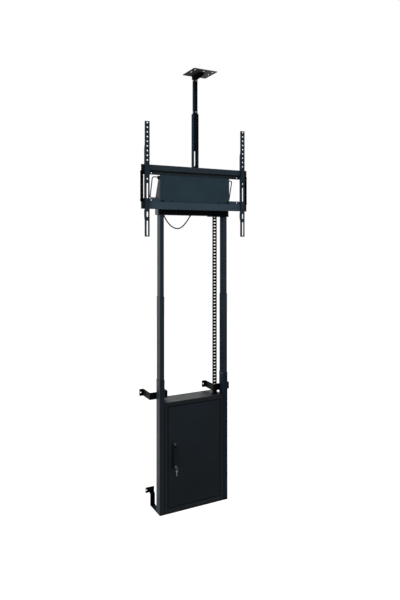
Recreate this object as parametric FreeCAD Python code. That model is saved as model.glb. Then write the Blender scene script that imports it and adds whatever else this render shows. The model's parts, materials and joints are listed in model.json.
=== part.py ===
"""Motorised television stand: two telescopic lifting columns beside a lockable cabinet.

The columns carry a motor crossbar with two screen rails, a cable cover, a pair of hooked
screen arms and a camera shelf on a telescopic mast. It is fastened to the wall behind it.

Frame, in millimetres: the origin is the middle of the cabinet's bottom face, +X is to the
right as seen from the front, +Y goes back towards the wall and +Z goes up. The stand is
modelled raised to its full height.
"""
import FreeCAD, Part
import math
import os

V = FreeCAD.Vector
X_DIR = V(1, 0, 0)
Y_DIR = V(0, 1, 0)
Z_DIR = V(0, 0, 1)
SIDES = {"left": -1, "right": 1}

# Overall sizes
STAND_WIDTH = 431.0
CABINET_DEPTH = 117.0
CABINET_HEIGHT = 614.0
WALL_DISTANCE = 150.0
FRONT_Y = -CABINET_DEPTH / 2
WALL_Y = FRONT_Y + WALL_DISTANCE

# Fits between pieces
SHAFT_CLEARANCE = 0.05
SLIDE_CLEARANCE = 0.3
SEAT_CLEARANCE = 0.1

# Telescopic columns
COLUMN_WIDTH = 31.0
COLUMN_DEPTH = 49.0
TUBE_WALL = 1.5
COLUMN_CORNER = 4.0
OUTER_RISE = 118.0
OUTER_TOP = CABINET_HEIGHT + OUTER_RISE
MIDDLE_BOTTOM = 455.0
MIDDLE_TOP = 1190.0
INNER_BOTTOM = 906.0
COLLAR_HEIGHT = 6.0
COLLAR_STEP = 0.6
COLUMN_X = STAND_WIDTH / 2 - COLUMN_WIDTH / 2
COLUMN_Y = FRONT_Y + COLUMN_DEPTH / 2
STAGE_STEP = 2 * (TUBE_WALL + SLIDE_CLEARANCE)

# Telescopic screw drive inside each column
SCREW_RADIUS = 3.5
SCREW_FOOT_HEIGHT = 12.0
SCREW_TOP = 480.0
SPINDLE_RADIUS = 6.0
SPINDLE_BORE = 4.2
SPINDLE_NUT_LENGTH = 19.5
SPINDLE_FLANGE_RADIUS = 8.0
SPINDLE_FLANGE = 3.0
SPINDLE_TOP = 945.0
DRIVER_HEIGHT = 14.0
DRIVER_RADIUS = 7.45
KEY_WIDTH = 3.0
KEY_REACH = 0.8
BEARING_PLATE = 12.0
LIFT_NUT_HEIGHT = 20.0
DRIVE_TUBE_RADIUS = 9.5
DRIVE_TUBE_GAP = 3.0

# Motor crossbar
CROSSBAR_BOTTOM = 1647.0
CROSSBAR_HEIGHT = 60.0
CROSSBAR_DEPTH = 45.0
CROSSBAR_OVERHANG = 4.5
CROSSBAR_LENGTH = STAND_WIDTH + 2 * CROSSBAR_OVERHANG
CROSSBAR_WALL = 1.5
CROSSBAR_CORNER = 3.0
TUBE_INSERTION = 8.0
END_CAP = 4.4
END_CAP_EDGE = 3.0
GEARBOX_WIDTH = 40.0
GEARBOX_HEIGHT = 46.0
GEARBOX_DEPTH = 40.0
GEARBOX_CHAMFER = 4.0
MOTOR_RADIUS = 17.0
MOTOR_LENGTH = 110.0
MOTOR_NECK_RADIUS = 12.0
MOTOR_NECK = 6.0
CROSSBAR_TOP = CROSSBAR_BOTTOM + CROSSBAR_HEIGHT
DRIVE_TUBE_TOP = CROSSBAR_BOTTOM + 33.0

# Screen rails: a front web with a free edge, a flange and a rear lip
RAIL_HALF_LENGTH = 332.0
RAIL_SHEET = 2.0
RAIL_FRONT = -20.0
RAIL_BACK = -10.0
BOTTOM_RAIL_RISE = 29.0
BOTTOM_RAIL_HEIGHT = 40.0
RAIL_OPENING = 164.0
TOP_RAIL_HEIGHT = 35.0
BOTTOM_RAIL_BOTTOM = CROSSBAR_BOTTOM + BOTTOM_RAIL_RISE
BOTTOM_RAIL_FLANGE = BOTTOM_RAIL_BOTTOM + BOTTOM_RAIL_HEIGHT
TOP_RAIL_FLANGE = BOTTOM_RAIL_FLANGE + RAIL_OPENING
TOP_RAIL_TOP = TOP_RAIL_FLANGE + TOP_RAIL_HEIGHT
LIP_HEIGHT = 18.0
LIP_HOLE_INSET = 62.5
LIP_HOLE_X = RAIL_HALF_LENGTH - LIP_HOLE_INSET
LIP_HOLE_RADIUS = 3.0
STRAP_WIDTH = 17.0
LUG_RADIUS = 3.5
LUG_HEIGHT = 1.5

# Side cheeks, cover and wire bail between the rails
CHEEK_INSET = 2.0
CHEEK_OUTER_X = CROSSBAR_LENGTH / 2 - CHEEK_INSET
CHEEK_SHEET = 2.5
CHEEK_FLANGE = 20.0
CHEEK_DROP = 20.0
CHEEK_TOP = TOP_RAIL_FLANGE - CHEEK_DROP
CHEEK_TOP_DEPTH = 2.0
CHEEK_REAR = 58.0
CHEEK_REAR_HEIGHT = 28.0
CHEEK_REAR_TOP = CROSSBAR_TOP + CHEEK_REAR_HEIGHT
COVER_SHEET = 1.5
COVER_GAP = 0.5
COVER_TOP = TOP_RAIL_FLANGE - LIP_HEIGHT - SEAT_CLEARANCE
COVER_RETURN = 6.0
COVER_SCREW_INSET = 13.0
COVER_SMALL_SCREW_INSET = 70.0
COVER_SCREW_X = CHEEK_OUTER_X - COVER_SCREW_INSET
COVER_SMALL_SCREW_X = CHEEK_OUTER_X - COVER_SMALL_SCREW_INSET
COVER_SCREW_RADIUS = 5.5
COVER_SMALL_SCREW_RADIUS = 3.4
COVER_SCREW_Z = BOTTOM_RAIL_FLANGE + COVER_GAP + COVER_SCREW_RADIUS
SCREW_HEAD = 2.5
BAIL_RADIUS = 3.0
BAIL_OVERHANG = 34.5
BAIL_HALF_WIDTH = CHEEK_OUTER_X + BAIL_OVERHANG
BAIL_PIVOT_RISE = 26.0
BAIL_DROP = 6.0
BAIL_PIVOT = (48.0, BOTTOM_RAIL_FLANGE + BAIL_PIVOT_RISE)
BAIL_TOP = (15.0, CHEEK_TOP - BAIL_DROP)
BAIL_BEND = 9.0
CLIP_WIDTH = 6.0
CLIP_WALL = 3.0

# Camera mast and shelf
MAST_WIDTH = 30.0
MAST_DEPTH = RAIL_FRONT + RAIL_SHEET + MAST_WIDTH / 2
MAST_WALL = 1.6
MAST_HEIGHT = 291.0
MAST_TOP = TOP_RAIL_TOP + MAST_HEIGHT
MAST_SLOT_WIDTH = 16.0
MAST_SLOT_INSET = 10.0
MAST_SLOT_BOTTOM = TOP_RAIL_TOP + MAST_SLOT_INSET
MAST_SLOT_END = 16.0
MAST_SLOT_TOP = MAST_TOP - MAST_SLOT_END
MAST_FOOT_DEPTH = 24.0
MAST_COLLAR = 12.0
MAST_COLLAR_INSERT = 14.0
MAST_TUBE_WIDTH = 22.0
MAST_TUBE_RISE = 95.0
MAST_TUBE_BOTTOM = TOP_RAIL_TOP + MAST_TUBE_RISE
MAST_TUBE_CORNER = 1.5
MAST_CLAMP_INSET = 20.0
MAST_CLAMP_PITCH = 43.0
MAST_CLAMP_Z = (MAST_TUBE_BOTTOM + MAST_CLAMP_INSET,
                MAST_TUBE_BOTTOM + MAST_CLAMP_INSET + MAST_CLAMP_PITCH)
MAST_CLAMP_BOLT_RADIUS = 2.9
MAST_CLAMP_HEAD_RADIUS = 5.0
MAST_CLAMP_HEAD = 4.0
MAST_CLAMP_WASHER_WIDTH = 24.0
MAST_CLAMP_WASHER = 2.5
MAST_CLAMP_REACH = 4.0
HEAD_HEIGHT = 17.0
HEAD_LAP = 5.0
HEAD_SHEET = 2.5
HEAD_NOSE = 82.0
HEAD_NOSE_HEIGHT = 8.0
PLATE_WIDTH = 145.0
PLATE_DEPTH = 142.0
PLATE_SHEET = 3.0
MAST_RISE = 225.0
PLATE_BOTTOM = MAST_TOP + MAST_RISE
HEAD_BOTTOM = PLATE_BOTTOM - HEAD_HEIGHT
MAST_TUBE_TOP = HEAD_BOTTOM + HEAD_LAP
MAST_SCREW_RADIUS = 3.6
MAST_SCREW_HEAD = 1.8
MAST_SCREW_DROP = 9.0
MAST_SCREW_Z = (MAST_TOP + 22.0, HEAD_BOTTOM - MAST_SCREW_DROP)
PLATE_CENTRE_DEPTH = -62.0
PLATE_CORNER = 4.0
PLATE_SLOT_LENGTH = 26.0
PLATE_SLOT_RADIUS = 4.2
PLATE_SLOT_X = 54.0
PLATE_SLOT_PITCH = 45.0

# Screen arms that hook over the rails
ARM_INSET = 32.0
ARM_X = RAIL_HALF_LENGTH - ARM_INSET
ARM_WIDTH = 26.0
ARM_FRONT = -30.0
ARM_SHEET = 2.0
ARM_RISE = 230.0
ARM_DROP = 148.5
ARM_TOP = TOP_RAIL_TOP + ARM_RISE
ARM_BOTTOM = BOTTOM_RAIL_BOTTOM - ARM_DROP
ARM_SHALLOW = -22.0
ARM_DEEP = -14.8
ARM_DEEP_RISE = 85.0
ARM_DEEP_DROP = 40.0
ARM_DEEP_TOP = TOP_RAIL_TOP + ARM_DEEP_RISE
ARM_DEEP_BOTTOM = BOTTOM_RAIL_BOTTOM - ARM_DEEP_DROP
ARM_TAPER = 22.0
ARM_RAIL_GAP = 0.5
HOOK_LENGTH = 15.0
ARM_HOLE_RADIUS = 4.2
ARM_HOLE_INSET = 8.0
ARM_HOLE_TOP = ARM_TOP - ARM_HOLE_INSET
ARM_HOLE_PITCH = 25.0
ARM_HOLE_COUNT = 9
ARM_LOW_HOLE = TOP_RAIL_FLANGE - 44.0
ARM_SLOTS = (
    (BOTTOM_RAIL_FLANGE + 16.0, TOP_RAIL_FLANGE - 66.0),
    (BOTTOM_RAIL_BOTTOM - 44.0, BOTTOM_RAIL_BOTTOM - 15.0),
    (ARM_BOTTOM + 5.5, BOTTOM_RAIL_BOTTOM - 63.0),
)
LATCH_HEIGHT = 10.0
LATCH_TONGUE = 14.0
LATCH_DROP_GAP = 2.5

# Energy chain
CHAIN_INSET = 72.0
CHAIN_X = CROSSBAR_LENGTH / 2 - CHAIN_INSET
CHAIN_DEPTH_Y = 36.0
CHAIN_WIDTH = 24.0
CHAIN_THICKNESS = 10.0
CHAIN_LINKS = 57
CHAIN_PLATE = 2.4
CHAIN_PLATE_GAP = 0.2
CHAIN_LAP = 3.6
CHAIN_BAR_HEIGHT = 11.4
CHAIN_BAR = 1.6
ANCHOR_SHEET = 2.0
ANCHOR_LAP = 43.0
ANCHOR_OVERHANG = 2.0
ANCHOR_LEFT = CHAIN_X - ANCHOR_LAP
ANCHOR_RIGHT = CROSSBAR_LENGTH / 2 + ANCHOR_OVERHANG
ANCHOR_DROP = 4.0
ANCHOR_RISE = 5.0
ANCHOR_EAR = 4.6
FOOT_ANCHOR_WIDTH = 44.0
FOOT_ANCHOR_DEPTH = 20.0
FOOT_ANCHOR_HEIGHT = 18.0
CHAIN_BOTTOM = CABINET_HEIGHT + ANCHOR_SHEET
CHAIN_TOP = CROSSBAR_BOTTOM - ANCHOR_DROP

# Cable loop under the crossbar
CABLE_RADIUS = 3.5
CABLE_DEPTH_Y = 22.0
CABLE_POINTS = (
    (-180.0, 1643.0),
    (-157.0, 1597.0),
    (-98.0, 1565.0),
    (-49.0, 1595.5),
    (-20.0, 1643.0),
)
CABLE_ARC_SHARE = 0.45
GLAND_RADIUS = 5.0
GLAND_LENGTH = 12.0

# Cabinet
SHEET = 1.5
FRAME_SHEET = 2.0
FRAME_LIP = 14.0
FRAME_SIDE = 18.5
FRAME_TOP = 24.0
DOOR_WIDTH = 2 * (COLUMN_X - COLUMN_WIDTH / 2 - FRAME_SIDE)
DOOR_BOTTOM = 31.0
DOOR_TOP = CABINET_HEIGHT - FRAME_TOP
DOOR_SHEET = 1.5
DOOR_RETURN = 12.0
DOOR_SIDE_GAP = 2.3
DOOR_END_GAP = 2.0
HINGE_EDGE = 4.0
HINGE_DEPTH = 4.5
HINGE_PIN_RADIUS = 2.0
HINGE_PIN_LENGTH = 8.0
CONTROL_BOX = (120.0, 50.0, 100.0)
CONTROL_BOX_X = -60.0
CONTROL_BOX_BOTTOM = DOOR_TOP - 1.2 * CONTROL_BOX[2]
CONTROL_BOX_EDGE = 3.0
SOCKET_SIZE = (18.0, 6.0, 12.0)
SOCKET_COUNT = 4
SOCKET_PITCH = 26.0

# Swing handle and lock on the door
HANDLE_INSET = 39.0
HANDLE_X = HANDLE_INSET - DOOR_WIDTH / 2
HANDLE_BOTTOM = 240.0
HANDLE_TOP = 391.0
HANDLE_WIDTH = 20.0
HANDLE_PLATE = 2.0
HUB_DROP = 12.0
HUB_RADIUS = 9.0
HUB_HEIGHT = 3.0
HUB_SHAFT_RADIUS = 5.0
TONGUE_HALF = 3.9
TONGUE_GAP = 0.3
LEVER_PIVOT_DEPTH = 10.2
LEVER_EYE_RADIUS = 4.8
LEVER_HALF_WIDTH = 9.0
LEVER_PIN_RADIUS = 1.5
LEVER_FRONT = 18.0
LEVER_REAR = 5.5
LEVER_END = HANDLE_BOTTOM + 9.0
LEVER_FORK = 16.0
LOCK_Z = LEVER_END + 11.0
LOCK_RADIUS = 6.5
LOCK_RIM_RADIUS = 7.5
LOCK_RIM = 1.5
CAM_LENGTH = 46.0
CAM_WIDTH = 14.0
CAM_SHEET = 3.0
CAM_GAP = 0.5
KEY_PLUG_RADIUS = 4.0
KEY_NECK = 5.0
KEY_BOW_RADIUS = 6.0
KEY_SHEET = 2.0
KEY_HOLE_RADIUS = 2.0
KEY_HOLE_DROP = 1.0
KEY_PLUG_RECESS = 0.5
KEY_NECK_HALF = 2.5
SPARE_RING_RADIUS = 6.5
SPARE_RING_WIRE = 1.0
SPARE_RING_GAP = 0.15
SPARE_LENGTH = 26.0
SPARE_BLADE_HALF = 2.2

# Wall brackets
UPPER_BRACKET_RISE = 13.0
UPPER_BRACKET_BOTTOM = CABINET_HEIGHT + UPPER_BRACKET_RISE
UPPER_BRACKET_HEIGHT = 39.0
UPPER_BRACKET_WIDTH = 107.0
UPPER_FLANGE = 22.0
UPPER_HOLE_INSET = 8.0
BRACKET_SHEET = 2.5
BRACKET_HOLE_RADIUS = 4.0
STRIP_WIDTH = 28.0
STRIP_SHEET = 3.0
STRIP_END = 138.0
RISER_TOP = 62.0
LOWER_FLANGE_BOTTOM = 71.0
LOWER_FLANGE_TOP = 101.0
LOWER_FLANGE_REACH = 22.5
LOWER_FLANGE_OUTER_X = STAND_WIDTH / 2 + LOWER_FLANGE_REACH
LOWER_FLANGE_INNER_X = STAND_WIDTH / 2 - LOWER_FLANGE_REACH
LOWER_HOLE_INSET = 6.0
LOWER_HOLE_X = LOWER_FLANGE_OUTER_X - LOWER_HOLE_INSET
LOWER_HOLE_Z = 86.0
BRACKET_SCREW_RADIUS = 5.0
BRACKET_SCREW_PITCH = 18.0


def box(x0, x1, y0, y1, z0, z1):
    """A block between two corners."""
    return Part.makeBox(x1 - x0, y1 - y0, z1 - z0, V(x0, y0, z0))


def at_depth(depth):
    """A row Y for a depth measured back from the front plane."""
    return FRONT_Y + depth


def rod(start, direction, radius, length):
    """A round bar from a start point along a direction."""
    return Part.makeCylinder(radius, length, V(*start), direction)


def profile_x(points, x0, x1):
    """An outline given as (depth, z) points, drawn out along X."""
    corners = [V(x0, at_depth(depth), z) for depth, z in points]
    return Part.Face(Part.makePolygon(corners + corners[:1])).extrude(V(x1 - x0, 0, 0))


def fused(shapes):
    """One solid out of several that share volume or faces."""
    first, *rest = shapes
    return first.multiFuse(rest).removeSplitter() if rest else first


def rounded_z(centre_x, centre_y, width, depth, radius, z0, z1):
    """An upright rectangular prism with rounded vertical corners."""
    left, right = centre_x - width / 2, centre_x + width / 2
    front, back = centre_y - depth / 2, centre_y + depth / 2
    prism = box(left, right, front, back, z0, z1)
    upright = [edge for edge in prism.Edges if abs(edge.tangentAt(0).z) > 0.9]
    return prism.makeFillet(min(radius, 0.45 * min(width, depth)), upright)


def slot_y(x, z0, z1, radius, y0, y1):
    """A cutter for an upright slot with round ends that runs through along Y."""
    if z1 - z0 <= 2 * radius:
        return rod((x, y0, (z0 + z1) / 2), Y_DIR, radius, y1 - y0)
    ends = [rod((x, y0, z), Y_DIR, radius, y1 - y0) for z in (z0 + radius, z1 - radius)]
    return fused([box(x - radius, x + radius, y0, y1, z0 + radius, z1 - radius)] + ends)


def slot_z(x, y0, y1, radius, z0, z1):
    """A cutter for a slot along Y with round ends that runs through along Z."""
    ends = [rod((x, y, z0), Z_DIR, radius, z1 - z0) for y in (y0 + radius, y1 - radius)]
    return fused([box(x - radius, x + radius, y0 + radius, y1 - radius, z0, z1)] + ends)


def mirrored(shape):
    """The same piece on the other side of the stand."""
    return shape.mirror(V(0, 0, 0), X_DIR)


def on_side(side, left_shape):
    """A piece that was drawn on the left, moved to the asked side."""
    return left_shape if SIDES[side] < 0 else mirrored(left_shape)


def stage_size(stage):
    """Width, depth and corner of a column stage: 0 outer, 1 middle, 2 inner."""
    corner = COLUMN_CORNER - stage * STAGE_STEP / 4
    return COLUMN_WIDTH - stage * STAGE_STEP, COLUMN_DEPTH - stage * STAGE_STEP, corner


def stage_tube(side, stage, bottom, top):
    """One telescopic tube of a column."""
    width, depth, corner = stage_size(stage)
    x = SIDES[side] * COLUMN_X
    outer = rounded_z(x, COLUMN_Y, width, depth, corner, bottom, top)
    inside = rounded_z(x, COLUMN_Y, width - 2 * TUBE_WALL, depth - 2 * TUBE_WALL,
                       corner - TUBE_WALL, bottom - 1, top + 1)
    return outer.cut(inside)


def stage_plug(side, stage, bottom, top, radius):
    """A block that fills a column tube and has a round bore down its middle."""
    width, depth, corner = stage_size(stage)
    margin = 2 * (TUBE_WALL + SEAT_CLEARANCE)
    x = SIDES[side] * COLUMN_X
    plug = rounded_z(x, COLUMN_Y, width - margin, depth - margin, corner - TUBE_WALL, bottom, top)
    return plug.cut(rod((x, COLUMN_Y, bottom - 1), Z_DIR, radius, top - bottom + 2))


def outer_column(side):
    """Fixed outer tube that stands on its floor strip."""
    return stage_tube(side, 0, STRIP_SHEET, OUTER_TOP)


def stage_collar(side, stage, bottom):
    """Glide ring on top of a tube, which guides the next stage."""
    width, depth, corner = stage_size(stage)
    next_width, next_depth, next_corner = stage_size(stage + 1)
    x = SIDES[side] * COLUMN_X
    top = bottom + COLLAR_HEIGHT
    step = 2 * COLLAR_STEP
    ring = rounded_z(x, COLUMN_Y, width + step, depth + step, corner, bottom, top)
    ring = ring.makeChamfer(0.5 * COLLAR_STEP, [e for e in ring.Edges if e.BoundBox.ZMin > top - 0.01])
    gap = 2 * SHAFT_CLEARANCE + SEAT_CLEARANCE
    hole = rounded_z(x, COLUMN_Y, next_width + gap, next_depth + gap, next_corner, bottom - 1, top + 1)
    return ring.cut(hole)


def fixed_screw(side):
    """Screw that stands still in the outer tube, with its foot block."""
    x = SIDES[side] * COLUMN_X
    foot_top = STRIP_SHEET + SCREW_FOOT_HEIGHT
    foot = stage_plug(side, 0, STRIP_SHEET, foot_top, SCREW_RADIUS)
    screw = rod((x, COLUMN_Y, STRIP_SHEET), Z_DIR, SCREW_RADIUS, SCREW_TOP - STRIP_SHEET)
    return fused([foot, screw])


def middle_tube(side):
    """Middle stage with the bearing plate welded into its foot."""
    width, depth, _ = stage_size(1)
    x = SIDES[side] * COLUMN_X
    tube = stage_tube(side, 1, MIDDLE_BOTTOM, MIDDLE_TOP)
    core = box(x - width / 2 + 0.5 * TUBE_WALL, x + width / 2 - 0.5 * TUBE_WALL,
               COLUMN_Y - depth / 2 + 0.5 * TUBE_WALL, COLUMN_Y + depth / 2 - 0.5 * TUBE_WALL,
               MIDDLE_BOTTOM, MIDDLE_BOTTOM + BEARING_PLATE)
    journal = rod((x, COLUMN_Y, MIDDLE_BOTTOM - 1), Z_DIR,
                  SPINDLE_RADIUS + SHAFT_CLEARANCE, BEARING_PLATE + 2)
    corners = rounded_z(x, COLUMN_Y, width, depth, COLUMN_CORNER, MIDDLE_BOTTOM,
                        MIDDLE_BOTTOM + BEARING_PLATE)
    return fused([tube, core.common(corners)]).cut(journal)


def spindle(side):
    """Hollow screw that turns in the bearing plate and climbs the fixed screw."""
    x = SIDES[side] * COLUMN_X
    flange_bottom = MIDDLE_BOTTOM - SLIDE_CLEARANCE - SPINDLE_FLANGE
    collar_bottom = MIDDLE_BOTTOM + BEARING_PLATE + SLIDE_CLEARANCE
    driver_bottom = SPINDLE_TOP - DRIVER_HEIGHT
    length = SPINDLE_TOP - flange_bottom
    body = fused([
        rod((x, COLUMN_Y, flange_bottom), Z_DIR, SPINDLE_RADIUS, length),
        rod((x, COLUMN_Y, flange_bottom), Z_DIR, SPINDLE_FLANGE_RADIUS, SPINDLE_FLANGE),
        rod((x, COLUMN_Y, collar_bottom), Z_DIR, SPINDLE_FLANGE_RADIUS, SPINDLE_FLANGE),
        rod((x, COLUMN_Y, driver_bottom), Z_DIR, DRIVER_RADIUS, DRIVER_HEIGHT),
        box(x - KEY_WIDTH / 2, x + KEY_WIDTH / 2, COLUMN_Y, COLUMN_Y + DRIVER_RADIUS + KEY_REACH,
            driver_bottom, SPINDLE_TOP),
    ])
    nut = rod((x, COLUMN_Y, flange_bottom - 1), Z_DIR, SCREW_RADIUS + SHAFT_CLEARANCE, length)
    bore_bottom = flange_bottom + SPINDLE_NUT_LENGTH
    bore = rod((x, COLUMN_Y, bore_bottom), Z_DIR, SPINDLE_BORE, length)
    return body.cut(nut).cut(bore)


def inner_tube(side):
    """Inner stage, let into the crossbar's underside."""
    return stage_tube(side, 2, INNER_BOTTOM, CROSSBAR_BOTTOM + TUBE_INSERTION)


def lift_nut(side):
    """Nut block at the foot of the inner stage that rides up the spindle."""
    radius = SPINDLE_RADIUS + SHAFT_CLEARANCE
    return stage_plug(side, 2, INNER_BOTTOM, INNER_BOTTOM + LIFT_NUT_HEIGHT, radius)


def drive_tube(side):
    """Keyed tube that turns the spindle while the spindle slides out of it."""
    x = SIDES[side] * COLUMN_X
    bottom = INNER_BOTTOM + LIFT_NUT_HEIGHT + DRIVE_TUBE_GAP
    length = DRIVE_TUBE_TOP - bottom
    tube = rod((x, COLUMN_Y, bottom), Z_DIR, DRIVE_TUBE_RADIUS, length)
    bore = rod((x, COLUMN_Y, bottom - 1), Z_DIR, DRIVER_RADIUS + SHAFT_CLEARANCE, length + 2)
    half = KEY_WIDTH / 2 + SHAFT_CLEARANCE
    reach = DRIVER_RADIUS + KEY_REACH + SHAFT_CLEARANCE
    keyway = box(x - half, x + half, COLUMN_Y, COLUMN_Y + reach, bottom - 1, DRIVE_TUBE_TOP + 1)
    return tube.cut(bore).cut(keyway)


def crossbar_housing():
    """Rectangular tube that joins the columns and holds both gear motors."""
    half = CROSSBAR_LENGTH / 2
    y0, y1 = COLUMN_Y - CROSSBAR_DEPTH / 2, COLUMN_Y + CROSSBAR_DEPTH / 2
    outer = box(-half, half, y0, y1, CROSSBAR_BOTTOM, CROSSBAR_TOP)
    lengthwise = [e for e in outer.Edges if abs(e.tangentAt(0).x) > 0.9]
    outer = outer.makeFillet(CROSSBAR_CORNER, lengthwise)
    wall = CROSSBAR_WALL
    tube = outer.cut(box(-half - 1, half + 1, y0 + wall, y1 - wall,
                         CROSSBAR_BOTTOM + wall, CROSSBAR_TOP - wall))
    width, depth, corner = stage_size(2)
    gap = 2 * SEAT_CLEARANCE
    for sign in SIDES.values():
        seat = rounded_z(sign * COLUMN_X, COLUMN_Y, width + gap, depth + gap, corner,
                         CROSSBAR_BOTTOM - 1, CROSSBAR_BOTTOM + TUBE_INSERTION)
        tube = tube.cut(seat)
    return tube


def crossbar_end_caps():
    """Moulded caps that close the crossbar's ends."""
    y0, y1 = COLUMN_Y - CROSSBAR_DEPTH / 2, COLUMN_Y + CROSSBAR_DEPTH / 2
    x1 = -CROSSBAR_LENGTH / 2
    x0 = x1 - END_CAP
    plate = box(x0, x1, y0, y1, CROSSBAR_BOTTOM, CROSSBAR_TOP)
    face_edges = [e for e in plate.Edges if e.BoundBox.XMax < x1 - 0.01 or abs(e.tangentAt(0).x) > 0.9]
    left = plate.makeChamfer(END_CAP_EDGE, face_edges)
    return Part.makeCompound([left, mirrored(left)])


def gearmotor(side):
    """Worm gearbox on top of the column with its motor lying in the crossbar."""
    x = -COLUMN_X
    z0 = CROSSBAR_BOTTOM + TUBE_INSERTION
    z1 = z0 + GEARBOX_HEIGHT
    half = GEARBOX_WIDTH / 2
    casing = box(x - half, x + half, COLUMN_Y - GEARBOX_DEPTH / 2, COLUMN_Y + GEARBOX_DEPTH / 2, z0, z1)
    casing = casing.makeChamfer(GEARBOX_CHAMFER, [e for e in casing.Edges if abs(e.tangentAt(0).x) > 0.9])
    centre_z = (z0 + z1) / 2
    neck = rod((x + half, COLUMN_Y, centre_z), X_DIR, MOTOR_NECK_RADIUS, MOTOR_NECK)
    motor = rod((x + half + MOTOR_NECK, COLUMN_Y, centre_z), X_DIR, MOTOR_RADIUS, MOTOR_LENGTH)
    bore_top = DRIVE_TUBE_TOP + SLIDE_CLEARANCE
    bore = rod((x, COLUMN_Y, z0 - 1), Z_DIR, DRIVE_TUBE_RADIUS + SHAFT_CLEARANCE, bore_top - z0 + 1)
    return on_side(side, fused([casing, neck, motor]).cut(bore))


def rail(edge_z, flange_z, inward):
    """A screen rail: web with a free edge, flange and rear lip, bent from one sheet."""
    sheet = inward * RAIL_SHEET
    lip_z = flange_z + inward * LIP_HEIGHT
    outline = [
        (RAIL_FRONT, edge_z),
        (RAIL_FRONT + RAIL_SHEET, edge_z),
        (RAIL_FRONT + RAIL_SHEET, flange_z - sheet),
        (RAIL_BACK, flange_z - sheet),
        (RAIL_BACK, lip_z),
        (RAIL_BACK - RAIL_SHEET, lip_z),
        (RAIL_BACK - RAIL_SHEET, flange_z),
        (RAIL_FRONT, flange_z),
    ]
    bar = profile_x(outline, -RAIL_HALF_LENGTH, RAIL_HALF_LENGTH)
    hole_z = lip_z - inward * LIP_HEIGHT / 2
    for sign in SIDES.values():
        start = (sign * LIP_HOLE_X, at_depth(RAIL_BACK - 2 * RAIL_SHEET), hole_z)
        bar = bar.cut(rod(start, Y_DIR, LIP_HOLE_RADIUS, 3 * RAIL_SHEET))
    return bar


def rail_end_straps():
    """Angle straps that join the two rails at their ends, with rivet heads outside."""
    x0 = -RAIL_HALF_LENGTH - RAIL_SHEET
    y0, y1 = at_depth(RAIL_FRONT), at_depth(RAIL_BACK - RAIL_SHEET)
    top = TOP_RAIL_FLANGE
    bottom = BOTTOM_RAIL_FLANGE
    flange = box(x0, x0 + STRAP_WIDTH, y1 - RAIL_SHEET, y1, bottom, top)
    side = box(x0, x0 + RAIL_SHEET, y0, y1, bottom, top)
    heads = [rod((x0 - LUG_HEIGHT, (y0 + y1) / 2, z), X_DIR, LUG_RADIUS, LUG_HEIGHT)
             for z in (top - LIP_HEIGHT / 2, bottom + LIP_HEIGHT / 2)]
    left = fused([flange, side] + heads)
    return Part.makeCompound([left, mirrored(left)])


def cheek(side):
    """Wedge-shaped side sheet that stands on the crossbar and carries the rails."""
    x0 = -CHEEK_OUTER_X
    bail_y, bail_z = BAIL_TOP
    outline = [
        (RAIL_BACK, CROSSBAR_TOP),
        (RAIL_BACK, CHEEK_TOP),
        (CHEEK_TOP_DEPTH, CHEEK_TOP),
        (bail_y - BAIL_RADIUS - CLIP_WALL, bail_z),
        (bail_y, bail_z - 2 * (BAIL_RADIUS + CLIP_WALL)),
        (CHEEK_REAR, CHEEK_REAR_TOP),
        (CHEEK_REAR, CROSSBAR_TOP),
    ]
    plate = profile_x(outline, x0, x0 + CHEEK_SHEET)
    y0 = at_depth(RAIL_BACK)
    front = box(x0, x0 + CHEEK_FLANGE, y0, y0 + CHEEK_SHEET, CROSSBAR_TOP, TOP_RAIL_FLANGE - 1)
    foot = box(x0, x0 + CHEEK_FLANGE, y0, COLUMN_Y + CROSSBAR_DEPTH / 2,
               CROSSBAR_TOP, CROSSBAR_TOP + CHEEK_SHEET)
    pivot_y, pivot_z = BAIL_PIVOT
    hole = rod((x0 - 1, at_depth(pivot_y), pivot_z), X_DIR,
               BAIL_RADIUS + SHAFT_CLEARANCE, CHEEK_SHEET + 2)
    return on_side(side, fused([plate, front, foot]).cut(hole))


def cover_panel():
    """Sheet cover between the rails, with a folded strip along its top."""
    y1 = at_depth(RAIL_BACK - RAIL_SHEET)
    y0 = y1 - COVER_SHEET
    bottom = BOTTOM_RAIL_FLANGE + COVER_GAP
    panel = box(-CHEEK_OUTER_X, CHEEK_OUTER_X, y0, y1, bottom, COVER_TOP)
    fold = box(-CHEEK_OUTER_X + CHEEK_FLANGE, CHEEK_OUTER_X - CHEEK_FLANGE, y0, y1 + COVER_RETURN,
               COVER_TOP - COVER_SHEET, COVER_TOP)
    half = MAST_WIDTH / 2 + 1
    mast_notch = box(-half, half, y1, y1 + COVER_RETURN + 1, COVER_TOP - COVER_SHEET - 1, COVER_TOP + 1)
    return fused([panel, fold.cut(mast_notch)])


def cover_screws():
    """Button-head screws that hold the cover to the bottom rail."""
    y1 = at_depth(RAIL_BACK - RAIL_SHEET - COVER_SHEET)
    heads = []
    for sign in SIDES.values():
        for x, radius in ((COVER_SCREW_X, COVER_SCREW_RADIUS),
                          (COVER_SMALL_SCREW_X, COVER_SMALL_SCREW_RADIUS)):
            start = (sign * x, y1 - SCREW_HEAD, COVER_SCREW_Z)
            heads.append(rod(start, Y_DIR, radius, SCREW_HEAD))
    return Part.makeCompound(heads)


def bent_wire(points, radius, bend):
    """A round wire along straight runs joined by tangent arcs of one radius."""
    return tube_along(points, radius, [bend] * (len(points) - 2))


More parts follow.
